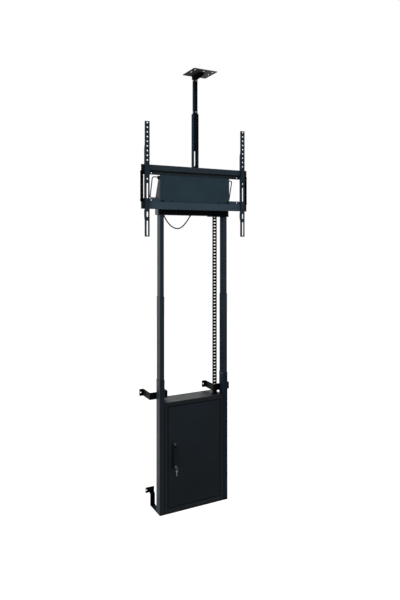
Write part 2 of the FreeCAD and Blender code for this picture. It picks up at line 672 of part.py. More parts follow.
def tube_along(points, radius, bends):
    """A round bar along straight runs joined by tangent arcs of the given radii."""
    runs = []
    start = points[0]
    for before, corner, after, bend in zip(points, points[1:], points[2:], bends):
        into = (corner - before).normalize()
        out = (after - corner).normalize()
        half_turn = into.getAngle(out) / 2
        setback = bend * math.tan(half_turn)
        arc_start = corner - into * setback
        arc_end = corner + out * setback
        centre = corner + (out - into).normalize() * (bend / math.cos(half_turn))
        section = Part.Face(Part.Wire(Part.makeCircle(radius, arc_start, into)))
        runs.append(Part.makeCylinder(radius, start.distanceToPoint(arc_start), start, into))
        runs.append(section.revolve(centre, into.cross(out), math.degrees(2 * half_turn)))
        start = arc_end
    last = points[-1] - start
    runs.append(Part.makeCylinder(radius, last.Length, start, last))
    return fused(runs)


def wire_bail():
    """Wire bail that swings back from the cheeks and keeps cables off the wall."""
    pivot_y, pivot_z = at_depth(BAIL_PIVOT[0]), BAIL_PIVOT[1]
    top_y, top_z = at_depth(BAIL_TOP[0]), BAIL_TOP[1]
    inner_x = CHEEK_OUTER_X - CHEEK_SHEET
    half = BAIL_HALF_WIDTH
    points = [
        V(-inner_x, pivot_y, pivot_z),
        V(-half, pivot_y, pivot_z),
        V(-half, top_y, top_z),
        V(half, top_y, top_z),
        V(half, pivot_y, pivot_z),
        V(inner_x, pivot_y, pivot_z),
    ]
    return bent_wire(points, BAIL_RADIUS, BAIL_BEND)


def bail_clips():
    """Moulded clips on the cheeks that the bail's bar rests in."""
    bail_y, bail_z = at_depth(BAIL_TOP[0]), BAIL_TOP[1]
    x1 = -CHEEK_OUTER_X
    x0 = x1 - CLIP_WIDTH
    reach = BAIL_RADIUS + CLIP_WALL
    block = box(x0, x1, bail_y - 2 * reach, bail_y + 1, bail_z - 2 * reach, bail_z + reach)
    open_radius = BAIL_RADIUS + SLIDE_CLEARANCE
    groove = rod((x0 - 1, bail_y, bail_z), X_DIR, open_radius, CLIP_WIDTH + 2)
    mouth = box(x0 - 1, x1 + 1, bail_y, bail_y + reach, bail_z - open_radius, bail_z + reach + 1)
    left = block.cut(groove).cut(mouth)
    return Part.makeCompound([left, mirrored(left)])


def mast_channel():
    """Channel that stands on the crossbar, open to the front, with a slot in its back."""
    half = MAST_WIDTH / 2
    y0 = at_depth(MAST_DEPTH) - half
    y1 = at_depth(MAST_DEPTH) + half
    outer = box(-half, half, y0, y1, CROSSBAR_TOP, MAST_TOP)
    inside = box(-half + MAST_WALL, half - MAST_WALL, y0 - 1, y1 - MAST_WALL,
                 CROSSBAR_TOP - 1, MAST_TOP + 1)
    rail_notch = box(-half - 1, half + 1, y0 - 1, at_depth(RAIL_BACK) + SLIDE_CLEARANCE,
                     CROSSBAR_TOP - 1, TOP_RAIL_FLANGE + RAIL_SHEET)
    slot = slot_y(0, MAST_SLOT_BOTTOM, MAST_SLOT_TOP, MAST_SLOT_WIDTH / 2, y1 - MAST_WALL - 1, y1 + 1)
    foot = box(-half, half, y1 - MAST_WALL, y1 - MAST_WALL + MAST_FOOT_DEPTH,
               CROSSBAR_TOP, CROSSBAR_TOP + MAST_WALL)
    return fused([outer.cut(inside).cut(rail_notch).cut(slot), foot])


def mast_collar():
    """Moulded collar on top of the channel that guides the mast tube."""
    half = MAST_WIDTH / 2
    y = at_depth(MAST_DEPTH)
    cap = rounded_z(0, y, MAST_WIDTH + 1, MAST_WIDTH + 1, 2, MAST_TOP, MAST_TOP + MAST_COLLAR)
    inner = half - MAST_WALL - SEAT_CLEARANCE
    skirt = box(-inner, inner, y - half, y + inner, MAST_TOP - MAST_COLLAR_INSERT, MAST_TOP)
    width = MAST_TUBE_WIDTH + SLIDE_CLEARANCE
    hole = rounded_z(0, y, width, width, MAST_TUBE_CORNER,
                     MAST_TOP - MAST_COLLAR_INSERT - 1, MAST_TOP + MAST_COLLAR + 1)
    slot = box(-MAST_SLOT_WIDTH / 2, MAST_SLOT_WIDTH / 2, y, y + half,
               MAST_TOP - MAST_COLLAR_INSERT - 1, MAST_TOP - 1)
    return fused([cap, skirt]).cut(hole).cut(slot)


def mast_tube():
    """Square tube that slides in the channel."""
    y = at_depth(MAST_DEPTH)
    width = MAST_TUBE_WIDTH
    outer = rounded_z(0, y, width, width, MAST_TUBE_CORNER, MAST_TUBE_BOTTOM, MAST_TUBE_TOP)
    bore = width - 2 * MAST_WALL
    half = bore / 2
    tube = outer.cut(box(-half, half, y - half, y + half, MAST_TUBE_BOTTOM - 1, MAST_TUBE_TOP + 1))
    for z in MAST_CLAMP_Z:
        tube = tube.cut(rod((0, y, z), Y_DIR, MAST_CLAMP_BOLT_RADIUS + SHAFT_CLEARANCE, width))
    return tube


def mast_clamp_bolts():
    """Bolts through the channel's slot that clamp the tube at its height."""
    y = at_depth(MAST_DEPTH)
    inner = y + MAST_TUBE_WIDTH / 2 - MAST_WALL
    back = y + MAST_WIDTH / 2 + SLIDE_CLEARANCE
    bolts = []
    for z in MAST_CLAMP_Z:
        start = inner - MAST_CLAMP_REACH
        shank = rod((0, start, z), Y_DIR, MAST_CLAMP_BOLT_RADIUS, back + MAST_CLAMP_WASHER - start)
        head = rod((0, back, z), Y_DIR, MAST_CLAMP_HEAD_RADIUS, MAST_CLAMP_WASHER + MAST_CLAMP_HEAD)
        half = MAST_CLAMP_WASHER_WIDTH / 2
        washer = box(-half, half, back, back + MAST_CLAMP_WASHER, z - half, z + half)
        bolts.append(fused([shank, head, washer]))
    return Part.makeCompound(bolts)


def mast_screws():
    """Round-head screws on the front and left face of the mast tube."""
    y = at_depth(MAST_DEPTH)
    half = MAST_TUBE_WIDTH / 2
    heads = []
    for z in MAST_SCREW_Z:
        heads.append(rod((0, y - half - MAST_SCREW_HEAD, z), Y_DIR, MAST_SCREW_RADIUS, MAST_SCREW_HEAD))
        heads.append(rod((-half - MAST_SCREW_HEAD, y, z), X_DIR, MAST_SCREW_RADIUS, MAST_SCREW_HEAD))
    return Part.makeCompound(heads)


def head_bracket():
    """Folded bracket on the mast tube that reaches forward under the shelf."""
    depth = MAST_DEPTH
    half = MAST_TUBE_WIDTH / 2 + SEAT_CLEARANCE
    rear = depth + half + HEAD_SHEET
    nose = depth - HEAD_NOSE
    outline = [
        (rear, HEAD_BOTTOM),
        (rear, PLATE_BOTTOM),
        (nose, PLATE_BOTTOM),
        (nose, PLATE_BOTTOM - HEAD_NOSE_HEIGHT),
        (depth - half - 2 * HEAD_SHEET, HEAD_BOTTOM),
    ]
    block = profile_x(outline, -half - HEAD_SHEET, half + HEAD_SHEET)
    room_front = at_depth(nose + HEAD_SHEET)
    room = box(-half, half, room_front, at_depth(rear) + 1, HEAD_BOTTOM - 1, PLATE_BOTTOM - HEAD_SHEET)
    web = box(-half, half, at_depth(depth - half), at_depth(depth + half), MAST_TUBE_TOP,
              PLATE_BOTTOM - HEAD_SHEET + 1)
    back = box(-half - 1, half + 1, at_depth(depth + half), at_depth(rear), HEAD_BOTTOM, PLATE_BOTTOM - 1)
    return fused([block.cut(room), web, back])


def camera_plate():
    """Slotted shelf plate for a camera."""
    y = at_depth(PLATE_CENTRE_DEPTH)
    z1 = PLATE_BOTTOM + PLATE_SHEET
    plate = rounded_z(0, y, PLATE_WIDTH, PLATE_DEPTH, PLATE_CORNER, PLATE_BOTTOM, z1)
    for x in (-PLATE_SLOT_X, 0, PLATE_SLOT_X):
        for row in (0, 1):
            if x == 0 and row == 0:
                continue
            middle = y - row * PLATE_SLOT_PITCH
            half = PLATE_SLOT_LENGTH / 2
            plate = plate.cut(slot_z(x, middle - half, middle + half, PLATE_SLOT_RADIUS,
                                     PLATE_BOTTOM - 1, z1 + 1))
    return plate


def screen_arm(side):
    """Channel with a row of holes whose flanges hook over the top rail."""
    half = ARM_WIDTH / 2
    x0 = -ARM_X - half
    web_clear = RAIL_FRONT - ARM_RAIL_GAP
    hook_front = RAIL_FRONT + RAIL_SHEET + ARM_RAIL_GAP
    hook_top = TOP_RAIL_TOP + SLIDE_CLEARANCE
    outline = [
        (ARM_FRONT, ARM_BOTTOM),
        (ARM_FRONT, ARM_TOP),
        (ARM_SHALLOW, ARM_TOP),
        (ARM_SHALLOW, ARM_DEEP_TOP + ARM_TAPER),
        (ARM_DEEP, ARM_DEEP_TOP),
        (ARM_DEEP, TOP_RAIL_TOP - HOOK_LENGTH),
        (hook_front, TOP_RAIL_TOP - HOOK_LENGTH),
        (hook_front, hook_top),
        (web_clear, hook_top),
        (web_clear, TOP_RAIL_FLANGE - 2),
        (ARM_DEEP, TOP_RAIL_FLANGE - 2),
        (ARM_DEEP, BOTTOM_RAIL_FLANGE + LIP_HEIGHT),
        (web_clear, BOTTOM_RAIL_FLANGE + LIP_HEIGHT),
        (web_clear, BOTTOM_RAIL_BOTTOM - 4),
        (ARM_DEEP, BOTTOM_RAIL_BOTTOM - 8),
        (ARM_DEEP, ARM_DEEP_BOTTOM),
        (ARM_SHALLOW, ARM_DEEP_BOTTOM - ARM_TAPER),
        (ARM_SHALLOW, ARM_BOTTOM),
    ]
    whole = profile_x(outline, x0, x0 + ARM_WIDTH)
    inside = box(x0 + ARM_SHEET, x0 + ARM_WIDTH - ARM_SHEET, at_depth(ARM_FRONT + ARM_SHEET),
                 at_depth(0), ARM_BOTTOM - 1, ARM_TOP + 1)
    arm = whole.cut(inside)
    y0, y1 = at_depth(ARM_FRONT) - 1, at_depth(ARM_FRONT + ARM_SHEET) + 1
    rows = [ARM_HOLE_TOP - k * ARM_HOLE_PITCH for k in range(ARM_HOLE_COUNT)] + [ARM_LOW_HOLE]
    cutters = [slot_y(-ARM_X, z, z, ARM_HOLE_RADIUS, y0, y1) for z in rows]
    cutters += [slot_y(-ARM_X, z0, z1, ARM_HOLE_RADIUS, y0, y1) for z0, z1 in ARM_SLOTS]
    return on_side(side, arm.cut(Part.makeCompound(cutters)))


def arm_latch(side):
    """Sprung latch whose tongue holds the arm behind the bottom rail's free edge."""
    half = ARM_WIDTH / 2 - ARM_SHEET - SLIDE_CLEARANCE
    front = ARM_FRONT + ARM_SHEET + SLIDE_CLEARANCE
    tongue_front = RAIL_FRONT + RAIL_SHEET + ARM_RAIL_GAP
    top = BOTTOM_RAIL_BOTTOM - LATCH_DROP_GAP
    outline = [
        (front, top - LATCH_HEIGHT),
        (front, top),
        (tongue_front, top),
        (tongue_front, top + LATCH_TONGUE),
        (ARM_DEEP, top + LATCH_TONGUE - 3),
        (ARM_DEEP, top - LATCH_HEIGHT),
    ]
    return on_side(side, profile_x(outline, -ARM_X - half, -ARM_X + half))


def chain_link(outer, z0, z1):
    """One ladder link: two side plates and a bar across the front and back."""
    reach = CHAIN_WIDTH / 2 if outer else CHAIN_WIDTH / 2 - CHAIN_PLATE - CHAIN_PLATE_GAP
    half = CHAIN_THICKNESS / 2
    y = at_depth(CHAIN_DEPTH_Y)
    plates = [box(CHAIN_X + x, CHAIN_X + x + CHAIN_PLATE, y - half, y + half, z0, z1)
              for x in (-reach, reach - CHAIN_PLATE)]
    middle = (z0 + z1) / 2
    x0, x1 = CHAIN_X - reach + CHAIN_PLATE, CHAIN_X + reach - CHAIN_PLATE
    bars = [box(x0, x1, y0, y0 + CHAIN_BAR, middle - CHAIN_BAR_HEIGHT / 2, middle + CHAIN_BAR_HEIGHT / 2)
            for y0 in (y - half, y + half - CHAIN_BAR)]
    return plates[0].multiFuse(plates[1:] + bars)


def energy_chain():
    """Ladder chain of alternating outer and inner links from the cabinet to the crossbar."""
    pitch = (CHAIN_TOP - CHAIN_BOTTOM) / CHAIN_LINKS
    links = []
    for k in range(CHAIN_LINKS):
        below = SLIDE_CLEARANCE if k == 0 else -CHAIN_LAP
        above = SLIDE_CLEARANCE if k == CHAIN_LINKS - 1 else -CHAIN_LAP
        z = CHAIN_BOTTOM + k * pitch
        links.append(chain_link(k % 2 == 0, z + below, z + pitch - above))
    return Part.makeCompound(links)


def anchor_ears(z0, z1):
    """Two ears that the chain's end link is pinned to."""
    outer = CHAIN_WIDTH / 2 - CHAIN_PLATE - CHAIN_PLATE_GAP
    y0, y1 = at_depth(CHAIN_DEPTH_Y) - CHAIN_THICKNESS / 2, at_depth(CHAIN_DEPTH_Y) + CHAIN_THICKNESS / 2
    return [box(CHAIN_X + x, CHAIN_X + x + CHAIN_PLATE, y0, y1, z0, z1)
            for x in (-outer, outer - CHAIN_PLATE)]


def chain_upper_anchor():
    """Angle bracket under the crossbar that carries the chain's top end."""
    y0 = COLUMN_Y - CROSSBAR_DEPTH / 2
    skirt = box(ANCHOR_LEFT, ANCHOR_RIGHT, y0 - ANCHOR_SHEET, y0, CHAIN_TOP,
                CROSSBAR_BOTTOM + ANCHOR_RISE)
    inner_edge = COLUMN_X - COLUMN_WIDTH / 2
    floor = box(ANCHOR_LEFT, inner_edge, y0 - ANCHOR_SHEET, COLUMN_Y + CROSSBAR_DEPTH / 2,
                CHAIN_TOP, CHAIN_TOP + ANCHOR_SHEET)
    ribs = [box(x, x + ANCHOR_SHEET, y0, COLUMN_Y + CROSSBAR_DEPTH / 2,
                CHAIN_TOP, CROSSBAR_BOTTOM) for x in (ANCHOR_LEFT, inner_edge - ANCHOR_SHEET)]
    ears = anchor_ears(CHAIN_TOP - ANCHOR_EAR, CHAIN_TOP)
    return fused([skirt, floor] + ribs + ears)


def chain_opening(z0, z1, margin):
    """A cutter for the way that the chain's cables take into the cabinet."""
    reach_x = CHAIN_WIDTH / 2 - 2 * CHAIN_PLATE - 2 * CHAIN_PLATE_GAP - margin
    reach_y = CHAIN_THICKNESS / 2 - CHAIN_BAR - margin
    y = at_depth(CHAIN_DEPTH_Y)
    return box(CHAIN_X - reach_x, CHAIN_X + reach_x, y - reach_y, y + reach_y, z0, z1)


def chain_lower_anchor():
    """Flange on the cabinet's top that holds the chain's bottom end."""
    half_x, half_y = FOOT_ANCHOR_WIDTH / 2, FOOT_ANCHOR_DEPTH / 2
    y = at_depth(CHAIN_DEPTH_Y)
    flange = rounded_z(CHAIN_X, y, 2 * half_x, 2 * half_y, 4, CABINET_HEIGHT, CHAIN_BOTTOM)
    flange = flange.cut(chain_opening(CABINET_HEIGHT - 1, CHAIN_BOTTOM + 1, 0))
    face = y - CHAIN_THICKNESS / 2 - SLIDE_CLEARANCE
    shield = box(CHAIN_X - CHAIN_WIDTH / 2, CHAIN_X + CHAIN_WIDTH / 2, face - ANCHOR_SHEET / 2, face,
                 CABINET_HEIGHT, CABINET_HEIGHT + FOOT_ANCHOR_HEIGHT)
    return fused([flange, shield] + anchor_ears(CHAIN_BOTTOM, CHAIN_BOTTOM + ANCHOR_EAR))


def crossbar_cable():
    """Motor cable that hangs in a free loop under the crossbar."""
    y = at_depth(CABLE_DEPTH_Y)
    points = [V(x, y, z) for x, z in CABLE_POINTS]
    bends = []
    for before, corner, after in zip(points, points[1:], points[2:]):
        turn = (corner - before).getAngle(after - corner)
        shorter = min(corner.distanceToPoint(before), corner.distanceToPoint(after))
        bends.append(CABLE_ARC_SHARE * shorter / math.tan(turn / 2))
    return tube_along(points, CABLE_RADIUS, bends)


def cable_glands():
    """Glands in the crossbar's underside at both ends of the cable loop."""
    y = at_depth(CABLE_DEPTH_Y)
    glands = []
    for end, beside in (CABLE_POINTS[:2], CABLE_POINTS[:-3:-1]):
        along = V(end[0] - beside[0], 0, end[1] - beside[1])
        gland = rod((end[0], y, end[1]), along, GLAND_RADIUS, GLAND_LENGTH)
        inside = box(end[0] - GLAND_LENGTH, end[0] + GLAND_LENGTH, y - GLAND_LENGTH, y + GLAND_LENGTH,
                     CROSSBAR_BOTTOM, CROSSBAR_BOTTOM + GLAND_LENGTH)
        glands.append(gland.cut(inside))
    return Part.makeCompound(glands)


def cabinet_half_width():
    """Half the cabinet's width: it fills the space between the columns."""
    return COLUMN_X - COLUMN_WIDTH / 2


def door_opening(margin, y0, y1):
    """A block as large as the door's opening plus a margin."""
    half = DOOR_WIDTH / 2 + DOOR_SIDE_GAP + margin
    return box(-half, half, y0, y1, DOOR_BOTTOM - DOOR_END_GAP - margin,
               DOOR_TOP + DOOR_END_GAP + margin)


def hinge_axis():
    """Row X and Y of the door's pivot pins."""
    return DOOR_WIDTH / 2 - HINGE_EDGE, at_depth(HINGE_DEPTH)


def cabinet_body():
    """Sides, top and bottom of the cabinet, folded from one sheet."""
    half = cabinet_half_width()
    y0, y1 = at_depth(FRAME_SHEET), at_depth(CABINET_DEPTH - SHEET)
    outer = box(-half, half, y0, y1, 0, CABINET_HEIGHT)
    inside = box(-half + SHEET, half - SHEET, y0 - 1, y1 + 1, SHEET, CABINET_HEIGHT - SHEET)
    return outer.cut(inside).cut(chain_opening(CABINET_HEIGHT - SHEET - 1, CABINET_HEIGHT + 1, 0))


def cabinet_back():
    """Back panel of the cabinet."""
    half = cabinet_half_width()
    return box(-half, half, at_depth(CABINET_DEPTH - SHEET), at_depth(CABINET_DEPTH), 0, CABINET_HEIGHT)


def cabinet_frame():
    """Front frame with a lip folded back all round the door's opening."""
    half = cabinet_half_width()
    front = box(-half, half, FRONT_Y, at_depth(FRAME_SHEET), 0, CABINET_HEIGHT)
    lip = door_opening(FRAME_SHEET, FRONT_Y, at_depth(FRAME_LIP))
    frame = fused([front, lip]).cut(door_opening(0, FRONT_Y - 1, at_depth(FRAME_LIP) + 1))
    return frame.cut(hinge_pins_shape(0))


def hinge_pins_shape(extra):
    """The two pivot pins, thicker by a given clearance where they are used as cutters."""
    x, y = hinge_axis()
    pins = []
    for z in (DOOR_TOP + DOOR_END_GAP + FRAME_SHEET - HINGE_PIN_LENGTH,
              DOOR_BOTTOM - DOOR_END_GAP - FRAME_SHEET):
        pins.append(rod((x, y, z), Z_DIR, HINGE_PIN_RADIUS + extra, HINGE_PIN_LENGTH))
    return Part.makeCompound(pins)


def door_panel():
    """Door tray with its edges folded back, bored for the pins and the handle's shaft."""
    half = DOOR_WIDTH / 2
    outer = box(-half, half, FRONT_Y, at_depth(DOOR_RETURN), DOOR_BOTTOM, DOOR_TOP)
    s = DOOR_SHEET
    inside = box(-half + s, half - s, at_depth(s), at_depth(DOOR_RETURN) + 1, DOOR_BOTTOM + s, DOOR_TOP - s)
    shaft = rod((HANDLE_X, FRONT_Y - 1, hub_z()), Y_DIR, HUB_SHAFT_RADIUS + SHAFT_CLEARANCE, s + 2)
    return outer.cut(inside).cut(hinge_pins_shape(SHAFT_CLEARANCE)).cut(shaft)


def hub_z():
    """Height of the handle's turning hub."""
    return HANDLE_TOP - HUB_DROP


def handle_base():
    """Flat plate with round ends under the swing handle."""
    plate = slot_y(HANDLE_X, HANDLE_BOTTOM, HANDLE_TOP, HANDLE_WIDTH / 2,
                   at_depth(-HANDLE_PLATE), FRONT_Y)
    return plate.cut(rod((HANDLE_X, at_depth(-HANDLE_PLATE) - 1, hub_z()), Y_DIR,
                         HUB_SHAFT_RADIUS + SHAFT_CLEARANCE, HANDLE_PLATE + 2))


def handle_hub():
    """Turning hub: boss and tongue in front, shaft through the door and cam behind it."""
    x, z = HANDLE_X, hub_z()
    boss_back = -HANDLE_PLATE - SLIDE_CLEARANCE
    boss_front = boss_back - HUB_HEIGHT
    cam_front = FRAME_LIP + CAM_GAP
    boss = rod((x, at_depth(boss_front), z), Y_DIR, HUB_RADIUS, HUB_HEIGHT)
    shaft = rod((x, at_depth(boss_front), z), Y_DIR, HUB_SHAFT_RADIUS, cam_front + CAM_SHEET - boss_front)
    eye = rod((x - TONGUE_HALF, at_depth(-LEVER_PIVOT_DEPTH), z), X_DIR, LEVER_EYE_RADIUS, 2 * TONGUE_HALF)
    stem = box(x - TONGUE_HALF, x + TONGUE_HALF, at_depth(-LEVER_PIVOT_DEPTH), at_depth(boss_front + 1),
               z - LEVER_EYE_RADIUS, z + LEVER_EYE_RADIUS)
    half = CAM_WIDTH / 2
    cam = slot_y(x, z - half, z + CAM_LENGTH, half, at_depth(cam_front), at_depth(cam_front + CAM_SHEET))
    pin = rod((x - HUB_RADIUS, at_depth(-LEVER_PIVOT_DEPTH), z), X_DIR,
              LEVER_PIN_RADIUS + SHAFT_CLEARANCE, 2 * HUB_RADIUS)
    return fused([boss, shaft, eye, stem, cam]).cut(pin)


def handle_lever():
    """Lever that lifts off the plate on its cross pin and then turns the hub."""
    x, z = HANDLE_X, hub_z()
    half = LEVER_HALF_WIDTH
    pivot = at_depth(-LEVER_PIVOT_DEPTH)
    outline = [
        (-LEVER_REAR, z),
        (-LEVER_REAR, LEVER_END + 2),
        (-LEVER_REAR - 2, LEVER_END),
        (-LEVER_FRONT + 3, LEVER_END),
        (-LEVER_FRONT, LEVER_END + 3),
        (-LEVER_FRONT, z - 3 * LEVER_FORK),
        (-LEVER_PIVOT_DEPTH - LEVER_EYE_RADIUS, z - LEVER_FORK / 4),
        (-LEVER_PIVOT_DEPTH - LEVER_EYE_RADIUS, z),
    ]
    body = profile_x(outline, x - half, x + half)
    eye = rod((x - half, pivot, z), X_DIR, LEVER_EYE_RADIUS, 2 * half)
    gap = TONGUE_HALF + TONGUE_GAP
    fork = box(x - gap, x + gap, at_depth(-LEVER_FRONT) - 1, at_depth(-LEVER_REAR) + 6,
               z - LEVER_FORK, z + LEVER_EYE_RADIUS + 1)
    pin = rod((x - half, pivot, z), X_DIR, LEVER_PIN_RADIUS, 2 * half)
    bore = rod((x, at_depth(-LEVER_FRONT) - 1, LOCK_Z), Y_DIR, LOCK_RADIUS + SHAFT_CLEARANCE,
               LEVER_FRONT + 1)
    return fused([fused([body, eye]).cut(fork), pin]).cut(bore)


def lock_cylinder():
    """Lock barrel in the lever's lower end, with a raised rim."""
    y0 = at_depth(-LEVER_FRONT)
    rim = rod((HANDLE_X, y0 - LOCK_RIM, LOCK_Z), Y_DIR, LOCK_RIM_RADIUS, LOCK_RIM)
    barrel = rod((HANDLE_X, y0 - LOCK_RIM, LOCK_Z), Y_DIR, LOCK_RADIUS, LEVER_FRONT - LEVER_REAR + LOCK_RIM)
    plug = rod((HANDLE_X, y0 - LOCK_RIM - 1, LOCK_Z), Y_DIR, KEY_PLUG_RADIUS + SHAFT_CLEARANCE,
               LEVER_FRONT - LEVER_REAR + LOCK_RIM - 1)
    return fused([rim, barrel]).cut(plug)


def key_bow_y():
    """Row Y of the middle of the key's bow."""
    return at_depth(-LEVER_FRONT - LOCK_RIM - KEY_NECK - KEY_BOW_RADIUS)


def lock_key():
    """Lock plug with the key pushed in and its bow standing out."""
    front = at_depth(-LEVER_FRONT - LOCK_RIM)
    x, z = HANDLE_X, LOCK_Z
    half = KEY_SHEET / 2
    plug = rod((x, front - KEY_PLUG_RECESS, z), Y_DIR, KEY_PLUG_RADIUS, LEVER_FRONT - LEVER_REAR)
    neck = box(x - half, x + half, key_bow_y(), front, z - KEY_NECK_HALF, z + KEY_NECK_HALF)
    bow = rod((x - half, key_bow_y(), z), X_DIR, KEY_BOW_RADIUS, KEY_SHEET)
    hole = rod((x - half - 1, key_bow_y(), z - KEY_HOLE_DROP), X_DIR, KEY_HOLE_RADIUS, KEY_SHEET + 2)
    return fused([plug, neck, bow]).cut(hole)


def spare_key():
    """Second key that hangs from the first one's bow on a ring."""
    x = HANDLE_X
    y = key_bow_y()
    wire = SPARE_RING_WIRE
    reach = SPARE_RING_RADIUS
    ring_z = LOCK_Z - KEY_HOLE_DROP - KEY_HOLE_RADIUS + wire + SPARE_RING_GAP - reach
    ring = rod((x, y - wire / 2, ring_z), Y_DIR, reach, wire)
    ring = ring.cut(rod((x, y - wire, ring_z), Y_DIR, reach - wire, 2 * wire))
    top = ring_z - reach + wire / 2
    half = KEY_SHEET / 2
    bow = rod((x, y - half, top - KEY_BOW_RADIUS), Y_DIR, KEY_BOW_RADIUS, KEY_SHEET)
    blade = box(x - SPARE_BLADE_HALF, x + SPARE_BLADE_HALF, y - half, y + half,
                top - KEY_BOW_RADIUS - SPARE_LENGTH, top - KEY_BOW_RADIUS)
    return fused([ring, bow, blade])


def control_box():
    """Motor controller on the cabinet's back panel, with its row of sockets."""
    width, depth, height = CONTROL_BOX
    y1 = at_depth(CABINET_DEPTH - SHEET)
    x0 = CONTROL_BOX_X - width / 2
    case = box(x0, x0 + width, y1 - depth, y1, CONTROL_BOX_BOTTOM, CONTROL_BOX_BOTTOM + height)
    case = case.makeFillet(CONTROL_BOX_EDGE, [e for e in case.Edges if e.BoundBox.YMax < y1 - 0.01])
    size_x, size_y, size_z = SOCKET_SIZE
    first = CONTROL_BOX_X - SOCKET_PITCH * (SOCKET_COUNT - 1) / 2
    for k in range(SOCKET_COUNT):
        x = first + k * SOCKET_PITCH
        case = case.cut(box(x - size_x / 2, x + size_x / 2, y1 - depth / 2 - size_z / 2,
                            y1 - depth / 2 + size_z / 2, CONTROL_BOX_BOTTOM - 1, CONTROL_BOX_BOTTOM + size_y))
    return case


def upper_wall_brackets():
    """Hat-shaped brackets that hold the columns' backs to the wall."""
    half = UPPER_BRACKET_WIDTH / 2
    x0, x1 = -COLUMN_X - half, -COLUMN_X + half
    z0, z1 = UPPER_BRACKET_BOTTOM, UPPER_BRACKET_BOTTOM + UPPER_BRACKET_HEIGHT
    y0 = at_depth(COLUMN_DEPTH)
    s = BRACKET_SHEET
    web = box(x0, x1, y0, y0 + s, z0, z1)
    arms = [box(x, x + s, y0, WALL_Y, z0, z1) for x in (x0, x1 - s)]
    flanges = [box(x0 - UPPER_FLANGE, x0 + s, WALL_Y - s, WALL_Y, z0, z1),
               box(x1 - s, x1 + UPPER_FLANGE, WALL_Y - s, WALL_Y, z0, z1)]
    bracket = fused([web] + arms + flanges)
    middle = (z0 + z1) / 2
    for x in upper_hole_xs():
        bracket = bracket.cut(rod((x, WALL_Y - 2 * s, middle), Y_DIR, BRACKET_HOLE_RADIUS, 3 * s))
    return Part.makeCompound([bracket, mirrored(bracket)])


def upper_hole_xs():
    """Row X of the left upper bracket's two wall holes."""
    half = UPPER_BRACKET_WIDTH / 2 + UPPER_FLANGE - UPPER_HOLE_INSET
    return -COLUMN_X - half, -COLUMN_X + half


def lower_wall_brackets():
    """Floor strips under the columns that turn up to a flange on the wall."""
    x0 = -COLUMN_X - STRIP_WIDTH / 2
    x1 = x0 + STRIP_WIDTH
    s = STRIP_SHEET
    outline = [
        (0, 0), (STRIP_END, 0), (STRIP_END, RISER_TOP), (WALL_DISTANCE, LOWER_FLANGE_BOTTOM),
        (WALL_DISTANCE, LOWER_FLANGE_TOP), (WALL_DISTANCE - s, LOWER_FLANGE_TOP),
        (WALL_DISTANCE - s, LOWER_FLANGE_BOTTOM + s / 2), (STRIP_END - s, RISER_TOP + s / 2),
        (STRIP_END - s, s), (0, s),
    ]
    strip = profile_x(outline, x0, x1)
    flange = box(-LOWER_FLANGE_OUTER_X, -LOWER_FLANGE_INNER_X, WALL_Y - s, WALL_Y,
                 LOWER_FLANGE_BOTTOM, LOWER_FLANGE_TOP)
    hole = rod((-LOWER_HOLE_X, WALL_Y - 2 * s, LOWER_HOLE_Z), Y_DIR, BRACKET_HOLE_RADIUS, 3 * s)
    left = fused([strip, flange]).cut(hole)
    return Part.makeCompound([left, mirrored(left)])


def bracket_screws():
    """Screws that hold the upper brackets to the backs of the columns."""
    y0 = at_depth(COLUMN_DEPTH) + BRACKET_SHEET
    middle = UPPER_BRACKET_BOTTOM + UPPER_BRACKET_HEIGHT / 2
    heads = []
    for sign in SIDES.values():
        for offset in (-BRACKET_SCREW_PITCH / 2, BRACKET_SCREW_PITCH / 2):
            start = (sign * COLUMN_X, y0, middle + offset)
            heads.append(rod(start, Y_DIR, BRACKET_SCREW_RADIUS, SCREW_HEAD))
    return Part.makeCompound(heads)


def pair(maker, *values):
    """The left and the right piece of one kind."""
    return Part.makeCompound([maker(side, *values) for side in SIDES])


